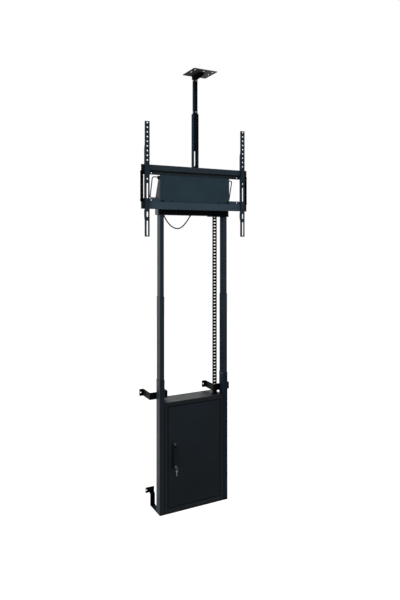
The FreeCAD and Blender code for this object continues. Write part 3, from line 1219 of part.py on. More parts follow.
def all_parts():
    """Every sub-part under the name of its file."""
    parts = {}
    for side in SIDES:
        parts[f"{side}_outer_column"] = outer_column(side)
        parts[f"{side}_fixed_screw"] = fixed_screw(side)
        parts[f"{side}_middle_tube"] = middle_tube(side)
        parts[f"{side}_middle_collar"] = stage_collar(side, 1, MIDDLE_TOP)
        parts[f"{side}_spindle"] = spindle(side)
        parts[f"{side}_inner_tube"] = inner_tube(side)
        parts[f"{side}_drive_tube"] = drive_tube(side)
        parts[f"{side}_gearmotor"] = gearmotor(side)
        parts[f"{side}_cheek"] = cheek(side)
        parts[f"{side}_screen_arm"] = screen_arm(side)
        parts[f"{side}_arm_latch"] = arm_latch(side)
    parts["outer_collars"] = pair(stage_collar, 0, OUTER_TOP)
    parts["lift_nuts"] = pair(lift_nut)
    parts["upper_wall_brackets"] = upper_wall_brackets()
    parts["lower_wall_brackets"] = lower_wall_brackets()
    parts["bracket_screws"] = bracket_screws()
    parts["cabinet_body"] = cabinet_body()
    parts["cabinet_frame"] = cabinet_frame()
    parts["cabinet_back"] = cabinet_back()
    parts["hinge_pins"] = hinge_pins_shape(0)
    parts["control_box"] = control_box()
    parts["chain_lower_anchor"] = chain_lower_anchor()
    parts["energy_chain"] = energy_chain()
    parts["chain_upper_anchor"] = chain_upper_anchor()
    parts["crossbar_housing"] = crossbar_housing()
    parts["crossbar_end_caps"] = crossbar_end_caps()
    parts["crossbar_cable"] = crossbar_cable()
    parts["cable_glands"] = cable_glands()
    parts["top_rail"] = rail(TOP_RAIL_TOP, TOP_RAIL_FLANGE, -1)
    parts["bottom_rail"] = rail(BOTTOM_RAIL_BOTTOM, BOTTOM_RAIL_FLANGE, 1)
    parts["rail_end_straps"] = rail_end_straps()
    parts["cover_panel"] = cover_panel()
    parts["cover_screws"] = cover_screws()
    parts["bail_clips"] = bail_clips()
    parts["wire_bail"] = wire_bail()
    parts["mast_channel"] = mast_channel()
    parts["mast_collar"] = mast_collar()
    parts["mast_tube"] = mast_tube()
    parts["mast_clamp_bolts"] = mast_clamp_bolts()
    parts["mast_screws"] = mast_screws()
    parts["head_bracket"] = head_bracket()
    parts["camera_plate"] = camera_plate()
    parts["door_panel"] = door_panel()
    parts["handle_base"] = handle_base()
    parts["handle_hub"] = handle_hub()
    parts["handle_lever"] = handle_lever()
    parts["lock_cylinder"] = lock_cylinder()
    parts["lock_key"] = lock_key()
    parts["spare_key"] = spare_key()
    return parts


os.makedirs("parts", exist_ok=True)
for name, shape in all_parts().items():
    shape.exportStep(f"parts/{name}.step")
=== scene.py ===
"""Looks of the motorised screen stand: materials, small details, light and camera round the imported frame."""

import json
import math

import bpy
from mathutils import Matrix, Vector


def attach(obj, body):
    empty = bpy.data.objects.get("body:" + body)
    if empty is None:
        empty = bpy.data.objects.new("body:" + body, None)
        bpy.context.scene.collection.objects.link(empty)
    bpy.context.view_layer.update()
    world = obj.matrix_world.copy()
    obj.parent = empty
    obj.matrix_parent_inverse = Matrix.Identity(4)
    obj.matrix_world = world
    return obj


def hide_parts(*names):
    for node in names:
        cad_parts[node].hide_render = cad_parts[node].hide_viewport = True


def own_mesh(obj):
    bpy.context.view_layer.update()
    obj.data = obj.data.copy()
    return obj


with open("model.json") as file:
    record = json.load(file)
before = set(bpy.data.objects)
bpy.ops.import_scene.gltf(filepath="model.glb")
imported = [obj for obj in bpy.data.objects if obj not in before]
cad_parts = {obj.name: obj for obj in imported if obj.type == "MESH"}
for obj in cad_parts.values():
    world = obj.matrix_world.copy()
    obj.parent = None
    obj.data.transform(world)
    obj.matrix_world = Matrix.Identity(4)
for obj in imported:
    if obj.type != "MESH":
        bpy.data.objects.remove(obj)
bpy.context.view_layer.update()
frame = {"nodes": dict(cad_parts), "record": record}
nodes = frame["nodes"]
scene = bpy.context.scene

# Camera: the photograph's own view, 400 by 600
CAMERA_PLACE = (-1.41237, -2.80406, 1.51775)
CAMERA_AZIMUTH = 27.767
FOCAL_PIXELS = 547.0
HORIZON_BELOW_MIDDLE = -61.6
FRAME_HEIGHT = 600.0
SENSOR = 36.0
FAR_CLIP = 60.0

camera = bpy.data.objects.new("camera", bpy.data.cameras.new("camera"))
scene.collection.objects.link(camera)
camera.location = CAMERA_PLACE
camera.rotation_euler = (math.radians(90), 0, math.radians(-CAMERA_AZIMUTH))
camera.data.sensor_width = SENSOR
camera.data.lens = FOCAL_PIXELS * SENSOR / FRAME_HEIGHT
camera.data.shift_y = HORIZON_BELOW_MIDDLE / FRAME_HEIGHT
camera.data.clip_end = FAR_CLIP
scene.camera = camera
scene.view_settings.view_transform = "Standard"


def add_node(tree, kind, inputs=None, **settings):
    """A node with its settings; each input is linked to a socket or set to a value."""
    made = tree.nodes.new(kind)
    for key, value in settings.items():
        setattr(made, key, value)
    for key, value in (inputs or {}).items():
        if isinstance(value, bpy.types.NodeSocket):
            tree.links.new(value, made.inputs[key])
        else:
            made.inputs[key].default_value = value
    return made


# How near two faces are for painted seam shade; normals' products at flat and sharp edges; a side face's
# normal along X, for painted side light and shade
SEAM_SHADE_REACH = 0.012
EDGE_FLAT, EDGE_SHARP = 0.985, 0.86
SIDE_START, SIDE_FULL = 0.6, 0.8


class Shader:
    """A material's node tree with short calls for its nodes."""

    def __init__(self, name):
        self.material = bpy.data.materials.new(name)
        self.material.use_nodes = True
        self.tree = self.material.node_tree
        self.tree.nodes.clear()

    def node(self, kind, inputs=None, **settings):
        return add_node(self.tree, kind, inputs, **settings)

    def place(self, stretch=(1, 1, 1)):
        """Object coordinates in metres, stretched along the axes."""
        coords = self.node("ShaderNodeTexCoord").outputs["Object"]
        return self.node("ShaderNodeMapping", {"Vector": coords, "Scale": stretch}).outputs["Vector"]

    def noise(self, scale, detail=3.0, rough=0.55, stretch=(1, 1, 1)):
        made = self.node("ShaderNodeTexNoise", {
            "Vector": self.place(stretch), "Scale": scale, "Detail": detail, "Roughness": rough})
        return made.outputs["Fac"]

    def ramp(self, fac, low, high, out_low=0.0, out_high=1.0):
        made = self.node("ShaderNodeMapRange", {
            "Value": fac, "From Min": low, "From Max": high, "To Min": out_low, "To Max": out_high})
        return made.outputs["Result"]

    def math(self, operation, a, b=0.0):
        return self.node("ShaderNodeMath", {0: a, 1: b}, operation=operation).outputs[0]

    def mix(self, fac, a, b):
        made = self.node("ShaderNodeMix", {0: fac, 6: a, 7: b}, data_type="RGBA")
        return made.outputs[2]

    def gain(self, fac, base, factor):
        """A colour multiplied by a factor where fac is one."""
        made = self.node("ShaderNodeMix", {0: fac, 6: base, 7: (factor, factor, factor, 1.0)},
                         data_type="RGBA", blend_type="MULTIPLY")
        return made.outputs[2]

    def side_light_mask(self):
        """One on faces that look left or right, where painted side light or shade goes."""
        normal = self.node("ShaderNodeNewGeometry").outputs["True Normal"]
        across = self.node("ShaderNodeSeparateXYZ", {0: normal}).outputs["X"]
        return self.ramp(self.math("ABSOLUTE", across), SIDE_START, SIDE_FULL)

    def bump(self, height, strength, distance, normal):
        inputs = {"Height": height, "Strength": strength, "Distance": distance, "Normal": normal}
        return self.node("ShaderNodeBump", inputs).outputs["Normal"]

    def rounded(self, radius):
        return self.node("ShaderNodeBevel", {"Radius": radius}, samples=4).outputs["Normal"]

    def edges(self, radius):
        """One at sharp edges and zero on flat faces."""
        plain = self.node("ShaderNodeNewGeometry").outputs["Normal"]
        dot = self.node("ShaderNodeVectorMath", {0: self.rounded(radius), 1: plain},
                        operation="DOT_PRODUCT")
        return self.ramp(dot.outputs["Value"], EDGE_FLAT, EDGE_SHARP)

    def seam_shade_share(self):
        """One in gaps and inner corners, zero on open faces; it places painted shade there."""
        made = self.node("ShaderNodeAmbientOcclusion", {"Distance": SEAM_SHADE_REACH}, samples=6)
        return self.ramp(made.outputs["AO"], 0.95, 0.35)

    def finish(self, **inputs):
        surface = self.node("ShaderNodeBsdfPrincipled", {
            key.replace("_", " "): value for key, value in inputs.items()})
        output = self.node("ShaderNodeOutputMaterial", {"Surface": surface.outputs["BSDF"]})
        output.is_active_output = True
        return self.material


def rgba(colour, gain=1.0):
    return tuple(min(1.0, part * gain) for part in colour) + (1.0,)


# Coats: noise scales per metre, lengths in metres, shares of the coat's own tone
CLOUD_SCALE = 9.0
FLECK_SCALE = 650.0
PEEL_SCALE = 420.0
FINE_SCALE = 1500.0
WORN_SCALE = 60.0
DULL_SCALE = 35.0
COAT_ROUND = 0.0008
COAT_RUB = 0.0012
RIM_WIDTH = 0.0022
RIM_SOFT = 0.0005
FOOT_SOFT = 0.001
# Shares of the coat's tone: in the painted seam shade, and on the painted shadow lines and the darker bottom
# band
SEAM_SHADE_TONE = 0.15
DARK_TONE = 0.1
# Moulded plastic and bare metal
MOULD_CLOUD_SCALE = 25.0
MOULD_DULL_SCALE = 300.0
MOULD_ROUND = 0.0005
MOULD_RUB = 0.0008
METAL_CLOUD_SCALE = 70.0
METAL_LINE_SCALE = 900.0
METAL_ROUND = 0.0004


def powder_coat(name, colour, rough=0.5, specular=0.5, grain=0.00012, edge=1.9, seam_shade=True,
                side=None, shade_fade=None, foot=None, shade_rims=()):
    """Fine-texture coat: orange peel, dust, rubbed edges, painted shade in gaps and inner corners, painted
    shadow lines and a darker bottom band.

    side is the colour of faces that look left or right, painted light or shade as a lit or shaded copy of the
    coat's colour; shade_fade is a painted shade gradient (axis, where dim, where full, share), foot the height
    below which the coat is darker, and shade_rims are (axis, place) pairs with a painted shadow line there and
    at -place.
    """
    s = Shader(name)
    cloud = s.ramp(s.noise(CLOUD_SCALE, 4.0), 0.3, 0.7)
    fleck = s.ramp(s.noise(FLECK_SCALE, 2.0), 0.35, 0.75)
    rub = s.math("MULTIPLY", s.edges(COAT_RUB), s.ramp(s.noise(WORN_SCALE, 4.0), 0.42, 0.68))
    base = s.mix(cloud, rgba(colour, 0.86), rgba(colour, 1.12))
    # painted light or shade on faces that look left or right
    if side:
        base = s.mix(s.side_light_mask(), base, s.mix(cloud, rgba(side, 0.86), rgba(side, 1.12)))
    base = s.gain(fleck, base, 1.15)
    base = s.gain(rub, base, 1.0 + 0.7 * (edge - 1.0))
    # painted shade in gaps and inner corners
    if seam_shade:
        base = s.gain(s.seam_shade_share(), base, SEAM_SHADE_TONE)
    # painted shade gradient: darker towards the dim end
    if shade_fade:
        axis, dim_end, full_end, share = shade_fade
        along = s.node("ShaderNodeSeparateXYZ", {0: s.place()}).outputs[axis]
        base = s.gain(s.ramp(along, full_end, dim_end), base, share)
    if foot:
        height = s.node("ShaderNodeSeparateXYZ", {0: s.place()}).outputs["Z"]
        base = s.gain(s.ramp(height, foot + FOOT_SOFT, foot - FOOT_SOFT), base, DARK_TONE)
    # painted shadow lines along the gaps at the given places
    for axis, at in shade_rims:
        along = s.math("ABSOLUTE", s.node("ShaderNodeSeparateXYZ", {0: s.place()}).outputs[axis])
        near = s.math("ABSOLUTE", s.math("SUBTRACT", along, at))
        base = s.gain(s.ramp(near, RIM_WIDTH + RIM_SOFT, RIM_WIDTH - RIM_SOFT), base, DARK_TONE)
    peel = s.noise(PEEL_SCALE, 3.0, 0.6)
    fine = s.noise(FINE_SCALE, 2.0, 0.5)
    height = s.math("ADD", s.math("MULTIPLY", peel, 0.7), s.math("MULTIPLY", fine, 0.3))
    normal = s.bump(height, 0.55, grain, s.rounded(COAT_ROUND))
    roughness = s.ramp(s.noise(DULL_SCALE, 4.0), 0.3, 0.7, rough - 0.05, rough + 0.05)
    return s.finish(Base_Color=base, Roughness=roughness, Normal=normal, Specular_IOR_Level=specular)


def moulded(name, colour, rough=0.55, grain=0.00006, scale=1800.0, specular=0.5):
    """Spark-textured plastic with slightly shinier rubbed edges."""
    s = Shader(name)
    cloud = s.ramp(s.noise(MOULD_CLOUD_SCALE, 3.0), 0.3, 0.7)
    base = s.mix(cloud, rgba(colour, 0.85), rgba(colour, 1.2))
    edge = s.edges(MOULD_RUB)
    base = s.mix(s.math("MULTIPLY", edge, 0.35), base, rgba(colour, 2.2))
    roughness = s.ramp(s.noise(MOULD_DULL_SCALE, 2.0), 0.3, 0.7, rough - 0.08, rough + 0.06)
    normal = s.bump(s.noise(scale, 3.0, 0.7), 0.5, grain, s.rounded(MOULD_ROUND))
    return s.finish(Base_Color=base, Roughness=roughness, Normal=normal, Specular_IOR_Level=specular)


def metal(name, colour, rough=0.3, stretch=(1, 1, 30), scratch=0.00003, dull=0.75):
    """Plated or turned metal with fine lines and faint stains."""
    s = Shader(name)
    cloud = s.ramp(s.noise(METAL_CLOUD_SCALE, 4.0), 0.35, 0.7)
    base = s.mix(cloud, rgba(colour, dull), rgba(colour))
    lines = s.noise(METAL_LINE_SCALE, 3.0, 0.6, stretch)
    roughness = s.ramp(lines, 0.3, 0.7, rough - 0.07, rough + 0.1)
    normal = s.bump(lines, 0.4, scratch, s.rounded(METAL_ROUND))
    return s.finish(Base_Color=base, Roughness=roughness, Normal=normal, Metallic=1.0)


# Painted shadow lines round the door and its frame, painted shade gradients where coats grow dimmer, and the
# height of a darker bottom band
DOOR_SHADE_RIMS = (("X", 0.1637), ("Z", 0.033), ("Z", 0.588))
FRAME_SHADE_RIMS = (("X", 0.1845), ("X", 0.166))
DOOR_SHADE_FADE = ("Z", 0.10, 0.56, 0.62)
LEFT_SHADE_FADE = ("Z", 0.75, 1.65, 0.5)
RIGHT_SHADE_FADE = ("Z", 0.75, 1.65, 0.7)
MAST_SHADE_FADE = ("Z", 2.40, 2.29, 0.3)
SHELF_SHADE_FADE = ("X", -0.015, 0.05, 0.2)
FOOT_HEIGHT = 0.009
looks = {
    "anthracite_paint": powder_coat("anthracite coat", (0.0066, 0.0132, 0.0190), 0.46, 0.5),
    "cover_paint": powder_coat("cover coat", (0.0205, 0.0460, 0.0650), 0.5, 0.4, 0.0001, seam_shade=False),
    "cheek_paint": powder_coat("cheek coat", (0.0180, 0.0240, 0.0300), 0.5),
    "door_paint": powder_coat("door coat", (0.0068, 0.0146, 0.0225), 0.5, 0.28, 0.00016,
                              shade_fade=DOOR_SHADE_FADE, shade_rims=DOOR_SHADE_RIMS),
    "black_plastic": moulded("black plastic", (0.008, 0.009, 0.010), 0.5),
    "cap_plastic": moulded("cap plastic", (0.082, 0.086, 0.092), 0.42),
    "chain_plastic": moulded("chain nylon", (0.0016, 0.0018, 0.0021), 0.5, specular=0.15),
    "handle_plastic": moulded("handle plastic", (0.0048, 0.0088, 0.0128), 0.5, specular=0.25),
    "controller_plastic": moulded("controller plastic", (0.02, 0.02, 0.022), 0.55),
    "cable_sheath": moulded("cable sheath", (0.004, 0.0045, 0.005), 0.45, 0.00003, 900.0),
    "zinc_steel": metal("zinc plate", (0.60, 0.62, 0.65), 0.3, (1, 1, 1)),
    "bright_steel": metal("turned steel", (0.50, 0.50, 0.52), 0.25, (1, 1, 40)),
    "nut_brass": metal("turned brass", (0.62, 0.44, 0.18), 0.3, (1, 1, 20)),
    "lock_chrome": metal("lock chrome", (0.20, 0.21, 0.22), 0.3, (1, 1, 1), 0.00001, 0.8),
    "key_nickel": metal("key nickel", (0.48, 0.49, 0.50), 0.26, (8, 1, 1), 0.00002, 0.85),
    "black_screw": moulded("black oxide", (0.0015, 0.0018, 0.0022), 0.45, 0.00003, specular=0.12),
    "black_wire": moulded("dipped wire", (0.0020, 0.0023, 0.0026), 0.5, 0.00004, 700.0, 0.12),
    "motor_paint": powder_coat("motor enamel", (0.08, 0.08, 0.09), 0.4),
}

# Rails: the bend's height, the half width of the painted shadow line there, and where the painted shade of the
# lip and ends begins, in metres
TOP_RAIL_BEND = 1.880
BEND_SHADE_LINE = 0.002
BEND_SHADE_LINE_END = 0.005
LIP_SHADE_START, LIP_SHADE_FULL = -0.004, 0.003
RAIL_END_SHADE_START, RAIL_END_SHADE_FULL = 0.296, 0.306


def rail_look(name, colour, bend=None):
    """Rail coat with painted shade on its ends; a bend's height gives a painted shadow line there and painted
    shade on the lip below.
    """
    s = Shader(name)
    place = s.node("ShaderNodeSeparateXYZ", {0: s.place()}).outputs
    cloud = s.ramp(s.noise(7.0, 4.0, 0.55, (1, 1, 5)), 0.3, 0.7)
    base = s.mix(cloud, rgba(colour, 0.9), rgba(colour, 1.12))
    # painted shadow line at the bend and painted shade on the lip below it
    if bend:
        under = s.math("SUBTRACT", bend, place["Z"])
        base = s.mix(s.ramp(under, LIP_SHADE_START, LIP_SHADE_FULL), base, rgba(colour, 0.76))
        bend_shade_off = s.math("ABSOLUTE", s.math("ADD", under, BEND_SHADE_LINE))
        base = s.mix(s.ramp(bend_shade_off, BEND_SHADE_LINE_END, BEND_SHADE_LINE), base, rgba(colour, 0.02))
    # painted shade on the rail's ends
    ends = s.ramp(s.math("ABSOLUTE", place["X"]), RAIL_END_SHADE_START, RAIL_END_SHADE_FULL)
    base = s.mix(ends, base, rgba(colour, 0.16))
    fleck = s.ramp(s.noise(FLECK_SCALE, 2.0), 0.4, 0.75)
    base = s.mix(s.math("MULTIPLY", fleck, 0.15), base, rgba(colour, 1.5))
    fine = s.math("MULTIPLY", s.noise(FINE_SCALE, 2.0), 0.4)
    height = s.math("ADD", s.noise(PEEL_SCALE, 3.0, 0.6), fine)
    normal = s.bump(height, 0.5, 0.0001, s.rounded(COAT_ROUND))
    return s.finish(Base_Color=base, Roughness=0.5, Normal=normal, Specular_IOR_Level=0.42)


# Both rails wear one paint; the bottom rail's coat is a lighter copy, painted light
top_rail_coat = rail_look("top rail coat", (0.0215, 0.0390, 0.0540), TOP_RAIL_BEND)
bottom_rail_lit_coat = rail_look("bottom rail lit coat", (0.0380, 0.0700, 0.0980))
# side= gives these coats painted light or shade on the faces that look left or right
arm_coat = powder_coat("arm coat", (0.0200, 0.0325, 0.0450), 0.52, 0.1, side=(0.0100, 0.0190, 0.0290))
mast_coat = powder_coat("mast coat", (0.0030, 0.0080, 0.0135), 0.5, 0.04, edge=1.4,
                        side=(0.0068, 0.0170, 0.0295))
mast_tube_coat = powder_coat("mast tube coat", (0.0046, 0.0096, 0.0142), 0.5, 0.04, edge=1.0,
                             side=(0.0080, 0.0152, 0.0228), shade_fade=MAST_SHADE_FADE)
black_coat = powder_coat("black coat", (0.0013, 0.0020, 0.0034), 0.52, 0.12, edge=1.5)
head_coat = powder_coat("head bracket coat", (0.0008, 0.0009, 0.0012), 0.6, 0.03, edge=2.0)
pale_zinc = moulded("pale zinc", (0.55, 0.56, 0.58), 0.35)
roof_coat = powder_coat("cabinet roof coat", (0.0190, 0.0230, 0.0260), 0.46, 0.5)
plate_coat = powder_coat("shelf coat", (0.1000, 0.1000, 0.1005), 0.6, 0.12, edge=1.5,
                         shade_fade=SHELF_SHADE_FADE)
# Both columns wear one paint: lit copies on the left and shaded copies on the right, painted light and shade,
# with side= giving their side faces painted light or shade
left_column_lit_coat = powder_coat("left column lit coat", (0.0048, 0.0120, 0.0185), 0.46, 0.3,
                              side=(0.0262, 0.0352, 0.0450), foot=FOOT_HEIGHT)
left_tubes_lit_coat = powder_coat("left tubes lit coat", (0.0165, 0.0320, 0.0445), 0.46, 0.4,
                        side=(0.0400, 0.0550, 0.0680), shade_fade=LEFT_SHADE_FADE)
right_tubes_shaded_coat = powder_coat("right tubes shaded coat", (0.0300, 0.0415, 0.0540), 0.5, 0.02,
                         side=(0.0180, 0.0280, 0.0390), shade_fade=RIGHT_SHADE_FADE)
right_column_shaded_coat = powder_coat("right column shaded coat", (0.0092, 0.0168, 0.0265), 0.5, 0.06,
                               side=(0.0091, 0.0182, 0.0286), foot=FOOT_HEIGHT)
frame_coat = powder_coat("door frame coat", (0.0053, 0.0106, 0.0155), 0.46, 0.36, edge=1.2,
                         foot=FOOT_HEIGHT, shade_rims=FRAME_SHADE_RIMS)
own_look = {
    "top_rail": top_rail_coat, "bottom_rail": bottom_rail_lit_coat,
    "cabinet_body": roof_coat, "cabinet_frame": frame_coat, "mast_screws": pale_zinc,
    "outer_collars": left_column_lit_coat, "left_middle_collar": left_tubes_lit_coat, "right_middle_collar": right_tubes_shaded_coat,
    "left_outer_column": left_column_lit_coat, "left_middle_tube": left_tubes_lit_coat, "left_inner_tube": left_tubes_lit_coat,
    "right_outer_column": right_column_shaded_coat, "right_middle_tube": right_tubes_shaded_coat, "right_inner_tube": right_tubes_shaded_coat,
    "left_screen_arm": arm_coat, "right_screen_arm": arm_coat,
    "mast_channel": mast_coat, "mast_collar": mast_coat, "mast_tube": mast_tube_coat,
    "crossbar_housing": black_coat, "chain_upper_anchor": black_coat, "chain_lower_anchor": black_coat,
    "upper_wall_brackets": black_coat, "lower_wall_brackets": black_coat, "rail_end_straps": black_coat,
    "camera_plate": plate_coat, "head_bracket": head_coat,
}
slot_of = {row["node"]: row["material_slot"] for row in frame["record"]["subparts"]}
for name, node in nodes.items():
    node.data.materials.clear()
    node.data.materials.append(own_look.get(name) or looks[slot_of[name]])

# Crossbar cable: its route repeats the control points of the solid
CABLE_DEPTH = -0.0365
CABLE_RADIUS = 0.0035
CABLE_POINTS = ((-0.180, 1.643), (-0.157, 1.597), (-0.098, 1.565), (-0.049, 1.5955), (-0.020, 1.643))


def add(name, data, body, slot):
    """A new piece that rides on a body and takes a slot's finish."""
    piece = bpy.data.objects.new(name, data)
    scene.collection.objects.link(piece)
    data.materials.append(looks[slot])
    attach(piece, body)
    return piece


def route(name, points, radius):
    """A round cord along a NURBS spline."""
    curve = bpy.data.curves.new(name, "CURVE")
    curve.dimensions = "3D"
    curve.bevel_depth = radius
    curve.bevel_resolution = 5
    curve.resolution_u = 12
    spline = curve.splines.new("NURBS")
    spline.points.add(len(points) - 1)
    for made, place in zip(spline.points, points):
        made.co = (*place, 1.0)
    spline.order_u = 3
    spline.use_endpoint_u = True
    return curve


def spline_length(curve):
    """Length of a curve's own line."""
    bevel = curve.bevel_depth
    curve.bevel_depth = 0.0
    probe = bpy.data.objects.new("probe", curve)
    scene.collection.objects.link(probe)
    bpy.context.view_layer.update()
    mesh = bpy.data.meshes.new_from_object(probe.evaluated_get(bpy.context.evaluated_depsgraph_get()))
    length = sum((mesh.vertices[e.vertices[0]].co - mesh.vertices[e.vertices[1]].co).length
                 for e in mesh.edges)
    bpy.data.objects.remove(probe)
    bpy.data.meshes.remove(mesh)
    curve.bevel_depth = bevel
    return length


cable_points = [(x, CABLE_DEPTH, z) for x, z in CABLE_POINTS]
cable_curve = route("crossbar cable", cable_points, CABLE_RADIUS)
cable_length = spline_length(cable_curve)
print("cable length", round(cable_length, 4))
cable = add("crossbar_cable_sheath", cable_curve, "carriage", "cable_sheath")
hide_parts("crossbar_cable")


def mesh_of(name, solids):
    """One mesh out of (vertices, faces) solids."""
    vertices, faces = [], []
    for points, sides in solids:
        base = len(vertices)
        vertices += points
        faces += [tuple(base + corner for corner in side) for side in sides]
    mesh = bpy.data.meshes.new(name)
    mesh.from_pydata(vertices, [], faces)
    mesh.update()
    return mesh


def prism(outline, start, end):
    """A solid between two copies of an outline, each a list of 3-D points."""
    count = len(outline)
    points = [tuple(Vector(p) + Vector(start)) for p in outline]
    points += [tuple(Vector(p) + Vector(end)) for p in outline]
    sides = [tuple(reversed(range(count))), tuple(range(count, 2 * count))]
    sides += [(k, (k + 1) % count, count + (k + 1) % count, count + k) for k in range(count)]
    return points, sides


def block(x0, x1, y0, y1, z0, z1, cut=0.0):
    """A block whose four edges along X are cut."""
    outline = [(0, y0, z0 + cut), (0, y0 + cut, z0), (0, y1 - cut, z0), (0, y1, z0 + cut),
               (0, y1, z1 - cut), (0, y1 - cut, z1), (0, y0 + cut, z1), (0, y0, z1 - cut)]
    return prism(outline, (x0, 0, 0), (x1, 0, 0))


def disc(centre, axis, radius, height, sides):
    """A many-sided disc that rises from its centre along an axis."""
    axis = Vector(axis)
    across = axis.orthogonal().normalized()
    up = axis.cross(across)
    outline = []
    for k in range(sides):
        angle = 2 * math.pi * k / sides
        outline.append(Vector(centre) + (across * math.cos(angle) + up * math.sin(angle)) * radius)
    return prism(outline, (0, 0, 0), axis * height)


# Energy chain: side plates with pins, tongues that lap into the next link, and snap-on bars
CHAIN_X, CHAIN_Y = 0.148, -0.0225
CHAIN_BOTTOM, CHAIN_TOP = 0.616, 1.643
CHAIN_LINKS = 57
CHAIN_PITCH = (CHAIN_TOP - CHAIN_BOTTOM) / CHAIN_LINKS
CHAIN_HALF = 0.012
CHAIN_THICK = 0.010
CHAIN_PLATE = 0.0024
CHAIN_PLATE_CORNER = 0.002
CHAIN_LINK_GAP = 0.0004
CHAIN_TONGUE = 0.0014
CHAIN_TONGUE_RADIUS = 0.0042
CHAIN_TONGUE_LAP = 0.002
CHAIN_BAR = 0.0016
CHAIN_BAR_HALF = 0.0058
CHAIN_CATCH = 0.0035
CHAIN_CATCH_HALF = 0.0028
CHAIN_CATCH_RISE = 0.0003
CHAIN_CATCH_INSET = 0.001
CHAIN_CATCH_CUT = 0.0001
CHAIN_PIN_PLACE = 0.0048
CHAIN_PIN_RADIUS = 0.0024
CHAIN_PIN_RISE = 0.0004


def round_plate(y, half_wide, z0, z1, corner, steps=4):
    """Outline across X of a plate with round corners."""
    outline = []
    corners = ((y + half_wide - corner, z0 + corner, -90), (y + half_wide - corner, z1 - corner, 0),
               (y - half_wide + corner, z1 - corner, 90), (y - half_wide + corner, z0 + corner, 180))
    for centre_y, centre_z, turn in corners:
        for step in range(steps + 1):
            angle = math.radians(turn + 90 * step / steps)
            outline.append((0, centre_y + corner * math.cos(angle), centre_z + corner * math.sin(angle)))
    return outline


def chain_link(k):
    """The solids of one link, counted from the chain's lower end."""
    z0 = CHAIN_BOTTOM + k * CHAIN_PITCH
    z1 = z0 + CHAIN_PITCH
    half_thick = CHAIN_THICK / 2
    half_gap = CHAIN_LINK_GAP / 2
    plate = round_plate(CHAIN_Y, half_thick, z0 + half_gap, z1 - half_gap, CHAIN_PLATE_CORNER)
    solids = []
    for side in (-1, 1):
        outside = CHAIN_X + side * CHAIN_HALF
        inside = outside - side * CHAIN_PLATE
        solids.append(prism(plate, (min(outside, inside), 0, 0), (max(outside, inside), 0, 0)))
        pin = (outside, CHAIN_Y, z0 + CHAIN_PIN_PLACE)
        solids.append(disc(pin, (side, 0, 0), CHAIN_PIN_RADIUS, CHAIN_PIN_RISE, 12))
        if k < CHAIN_LINKS - 1:
            reach = CHAIN_TONGUE_RADIUS + CHAIN_TONGUE_LAP
            tongue = round_plate(CHAIN_Y, CHAIN_TONGUE_RADIUS, z1 - reach, z1 + reach, CHAIN_TONGUE_RADIUS, 6)
            ends = sorted((inside, inside - side * CHAIN_TONGUE))
            solids.append(prism(tongue, (ends[0], 0, 0), (ends[1], 0, 0)))
    middle = (z0 + z1) / 2
    x0, x1 = CHAIN_X - CHAIN_HALF + CHAIN_PLATE, CHAIN_X + CHAIN_HALF - CHAIN_PLATE
    low, high = middle - CHAIN_BAR_HALF, middle + CHAIN_BAR_HALF
    for y0 in (CHAIN_Y - half_thick, CHAIN_Y + half_thick - CHAIN_BAR):
        solids.append(block(x0, x1, y0, y0 + CHAIN_BAR, low, high, CHAIN_CATCH_RISE))
        lip = y0 - CHAIN_CATCH_RISE if y0 < CHAIN_Y else y0 + CHAIN_BAR
        for x in (x0 + CHAIN_CATCH_INSET, x1 - CHAIN_CATCH_INSET - CHAIN_CATCH):
            solids.append(block(x, x + CHAIN_CATCH, lip, lip + CHAIN_CATCH_RISE,
                                middle - CHAIN_CATCH_HALF, middle + CHAIN_CATCH_HALF, CHAIN_CATCH_CUT))
    return solids


chain_solids = [solid for k in range(CHAIN_LINKS) for solid in chain_link(k)]
chain = add("energy_chain_links", mesh_of("energy chain", chain_solids), "base", "chain_plastic")
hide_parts("energy_chain")
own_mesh(chain)

# Drive recesses in the screws' heads, at the heads' faces, and two screws on the chain's upper anchor
RECESS = 0.00012
CROSS_LENGTH, CROSS_WIDTH = 0.62, 0.16
FRONT, BACK, LEFT = (0, -1, 0), (0, 1, 0), (-1, 0, 0)
COVER_FACE, COVER_SCREW_Z = -0.0745, 1.722
COVER_SCREW_X, COVER_SOCKET = 0.205, 0.0027
SMALL_SCREW_X, SMALL_SOCKET = 0.148, 0.0017
BRACKET_FACE, BRACKET_SCREW_X, BRACKET_SCREW_Z = -0.0045, 0.200, (0.6375, 0.6555)
BRACKET_SOCKET = 0.0028
MAST_FRONT_FACE, MAST_SIDE_FACE, MAST_SIDE_Y = -0.0743, -0.0128, -0.0615
MAST_SCREW_Z, MAST_CROSS = (2.228, 2.405), 0.0026
CLAMP_FACE, CLAMP_Z, CLAMP_SOCKET = -0.0397, (2.030, 2.073), 0.0028
ANCHOR_X, ANCHOR_HALF, ANCHOR_FACE, ANCHOR_Z = 0.1635, 0.045, -0.0585, 1.6475
ANCHOR_HEAD, ANCHOR_HEAD_RISE = 0.0026, 0.0012


def hex_socket(centre, axis, radius):
    """A six-sided spot on a head's face."""
    return [disc(centre, axis, radius, RECESS, 6)]


def cross_recess(centre, axis, radius):
    """A cross of two thin bars on a head's face."""
    x, y, z = centre
    wide, thin = radius * CROSS_LENGTH, radius * CROSS_WIDTH
    solids = []
    for half_across, half_up in ((wide, thin), (thin, wide)):
        if axis[0]:
            face = sorted((x, x + axis[0] * RECESS))
            solids.append(block(*face, y - half_across, y + half_across, z - half_up, z + half_up))
        else:
            face = sorted((y, y + axis[1] * RECESS))
            solids.append(block(x - half_across, x + half_across, *face, z - half_up, z + half_up))
    return solids


